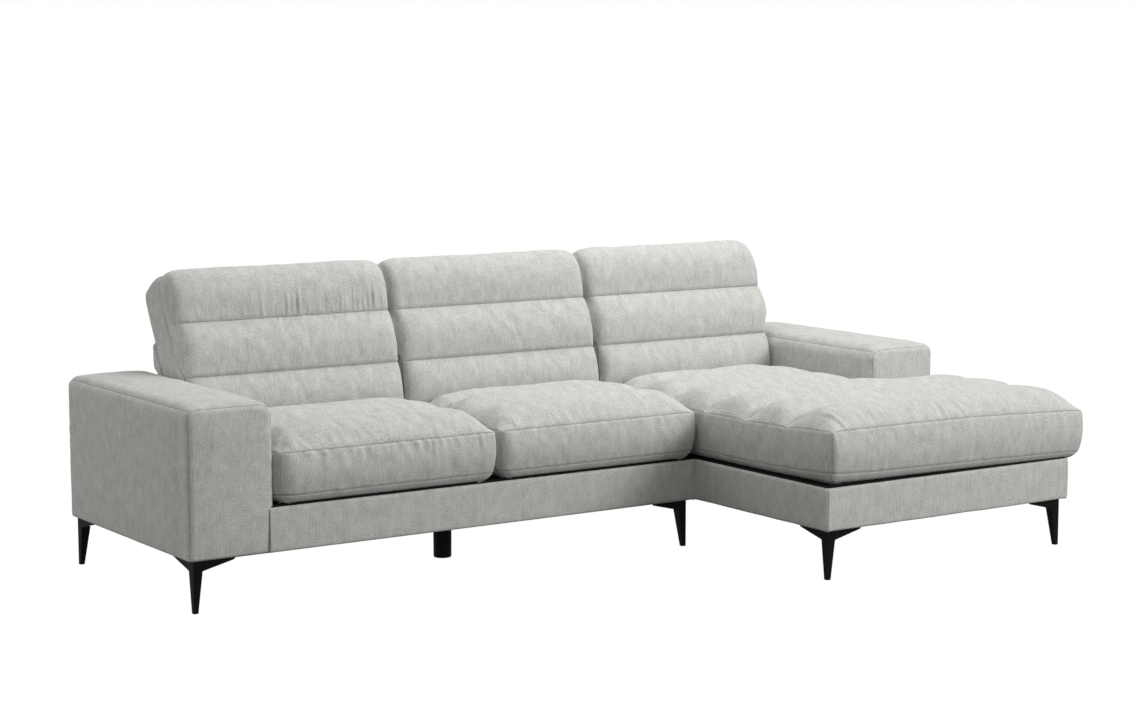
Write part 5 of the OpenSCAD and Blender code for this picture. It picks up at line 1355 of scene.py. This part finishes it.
        # The seam falls with the crest towards the top corner
        end = seam_line[0 if way < 0 else -1]
        drop = np.clip((W - 1.5) / 1.5, 0, 1) ** 2
        sy, sz = sy + (end[1] - sy[0, -1]) * drop, sz + (end[2] - sz[0, -1]) * drop
        ty = np.broadcast_to((ry + bow)[0 if way < 0 else -1][None, :], W.shape)
        tz = np.broadcast_to(rear_z[0 if way < 0 else -1][None, :], W.shape)
        first, second = np.clip(S, 0, 1), np.clip(S - 1, 0, 1)
        y = py + (sy - py) * first + (ty - sy) * second
        z = pz + (sz - pz) * first + (tz - sz) * second
        wide_y = np.hypot(sy - py, sz - pz)
        behind, before = wide_y * first, np.hypot(ty - sy, tz - sz) * (1 - second)
        at_front = (1 - np.clip(behind / inset_reach, 0, 1)) ** 2
        at_rear = (1 - np.clip(before / 0.02, 0, 1)) ** 2 * (S > 1)
        puff = np.sin(np.pi * (W - np.floor(W))) ** 0.55
        plain = top_round(W, way)
        side_in = (plain + (front_inset(W, way) - plain) * at_front
                   + (rear_inset(W, way) - plain) * at_rear)
        swell = (gusset_puff * np.sin(np.pi * first) * puff * np.clip(wide_y / 0.05, 0, 1) * (S < 1)
                 + rear_puff * np.sin(np.pi * second) * np.clip((3 - W) / 0.5, 0, 1))
        edge = (S < 1e-9) | (W < 1e-9) | (W > 3 - 1e-9) | (S > 2 - 1e-9)
        side_in = side_in - np.where(edge, 0, swell)
        side_in = np.where(S < 1e-9, front_inset(W, way), np.where(S > 2 - 1e-9, rear_inset(W, way), side_in))
        at = np.stack([x - way * side_in, y, z], -1)
        at[:, -1] = seam_line[0 if way < 0 else -1]
        # Less than the true gap, so that the dent and the painted seam shade are wider here, where they are
        # seen aslant
        from_seam = np.where(S < 1, wide_y * (1 - first), np.hypot(ty - sy, tz - sz) * second) * 0.45
        panels.append(dict(at=at, cloth=np.stack([way * (behind + second * 0.2), sz], -1), away=from_seam,
                           along=W * 0.15, held=(S >= 1 - 1e-9).astype(float)))
        sides.append(at[:, 0])
        rows.append(at[int(np.argmin(abs(ss - 1)))])
    # Underside: a flat dust panel between the feet of the sides
    share = ((us - x0) / (x1 - x0))[:, None, None]
    under = sides[0][None] * (1 - share) + sides[1][None] * share
    front_line, rear_line = front["at"][:, 0], rear["at"][:, 0]
    t = np.clip(ss / 2, 0, 1)[None, :, None]
    base_line = under[:, :1] * (1 - t) + under[:, -1:] * t
    edge_line = front_line[:, None] * (1 - t) + rear_line[:, None] * t
    under = under + (edge_line - base_line)
    under[0], under[-1] = sides[0], sides[1]
    panels.append(dict(at=under, cloth=under[..., :2].copy(), held=np.ones(under.shape[:2])))
    return sew(side + "_back_cushion", panels, rows)


def dress_back(piece, seed, pulls):
    """Stitched seams and gathers. pulls: (seam, way up or down, start, end, count, length, height, slant)"""
    station_h, pull_w, pull_reach = 0.16, 0.0046, 0.15
    fold_height, fold_from, fold_fade, slack = 0.0010, 0.008, 0.03, 0.0020
    line_depth, ridge = 0.0034, 0.0004
    smooth_once(piece)
    mesh = piece.data
    co, out = places(mesh), normals(mesh)
    away, along, held, up = (mark(mesh, k) for k in ("away", "along", "held", "up"))
    face = np.clip(-out[:, 1] * 2 - 0.2, 0, 1) * (held < 0.5) * (up > 0.01)
    total = np.zeros(len(co))
    for k, (seam, way, start, end, count, length, height, slant) in enumerate(pulls):
        d = (up - seam) * station_h * way
        pulled = gathers(co[:, 0], np.maximum(d, 0), seed + 10 * k, start, end, count, length, height, slant,
                         pull_w)
        total += face * (d > 0) * (d < pull_reach) * pulled
    loose = np.clip(1 - held, 0, 1)
    bunches = np.clip(ripple(along, seed + 2, (0.17, 0.29, 0.45)) + 0.1, 0, 1)
    folds = ripple(along, seed, (0.019, 0.031, 0.047)) * bunches
    folds = fold_height * folds * np.clip(away / fold_from, 0, 1) * np.exp(-away / fold_fade) * loose
    wave = slack * (ripple(co[:, 0] + 0.3 * co[:, 2], seed + 4, (0.12, 0.19, 0.3))
                    * ripple(co[:, 2] - 0.3 * co[:, 0], seed + 5, (0.15, 0.22)))
    shift = total + folds + wave - seam_dent(away, line_depth, ridge)
    move(mesh, co + out * shift[:, None])


for side, seed, wide, corner_rs, bulge, pulls in (
        ("left", 71, (0.001, 0.001), (0.010, 0.010), 0.0, [
            (2, 1, -0.85, -0.42, 26, 0.046, 0.0070, 0.0), (2, -1, -0.80, -0.42, 15, 0.060, 0.0062, -0.7),
            (2, 1, -1.10, -0.85, 9, 0.025, 0.0022, 0.0), (1, 1, -1.05, -0.45, 26, 0.028, 0.0022, 0.1),
            (3, -1, -0.52, -0.40, 6, 0.060, 0.0030, -0.8)]),
        ("middle", 83, (0.001, 0.004), (0.010, 0.010), 0.0, [
            (2, 1, -0.30, 0.28, 12, 0.035, 0.0013, 0.0), (1, -1, -0.36, -0.05, 10, 0.040, 0.0016, 0.2),
            (1, -1, 0.05, 0.33, 14, 0.045, 0.0016, 0.0), (2, -1, 0.15, 0.34, 5, 0.05, 0.0014, -0.6)]),
        ("right", 97, (-0.004, 0.002), (0.010, 0.010), 0.014, [
            (2, 1, 0.45, 1.05, 10, 0.035, 0.0012, 0.0), (1, 1, 0.40, 1.00, 8, 0.035, 0.0010, 0.0)])):
    unit = back_unit(side, wide, corner_rs, bulge)
    relax(unit)
    dress_back(unit, seed, pulls)
    finish_cloth(unit, side + "_back", [side + "_back_pad", side + "_back_cover"])
    stitch(side + "_back_stitches", side + "_back", [unit])
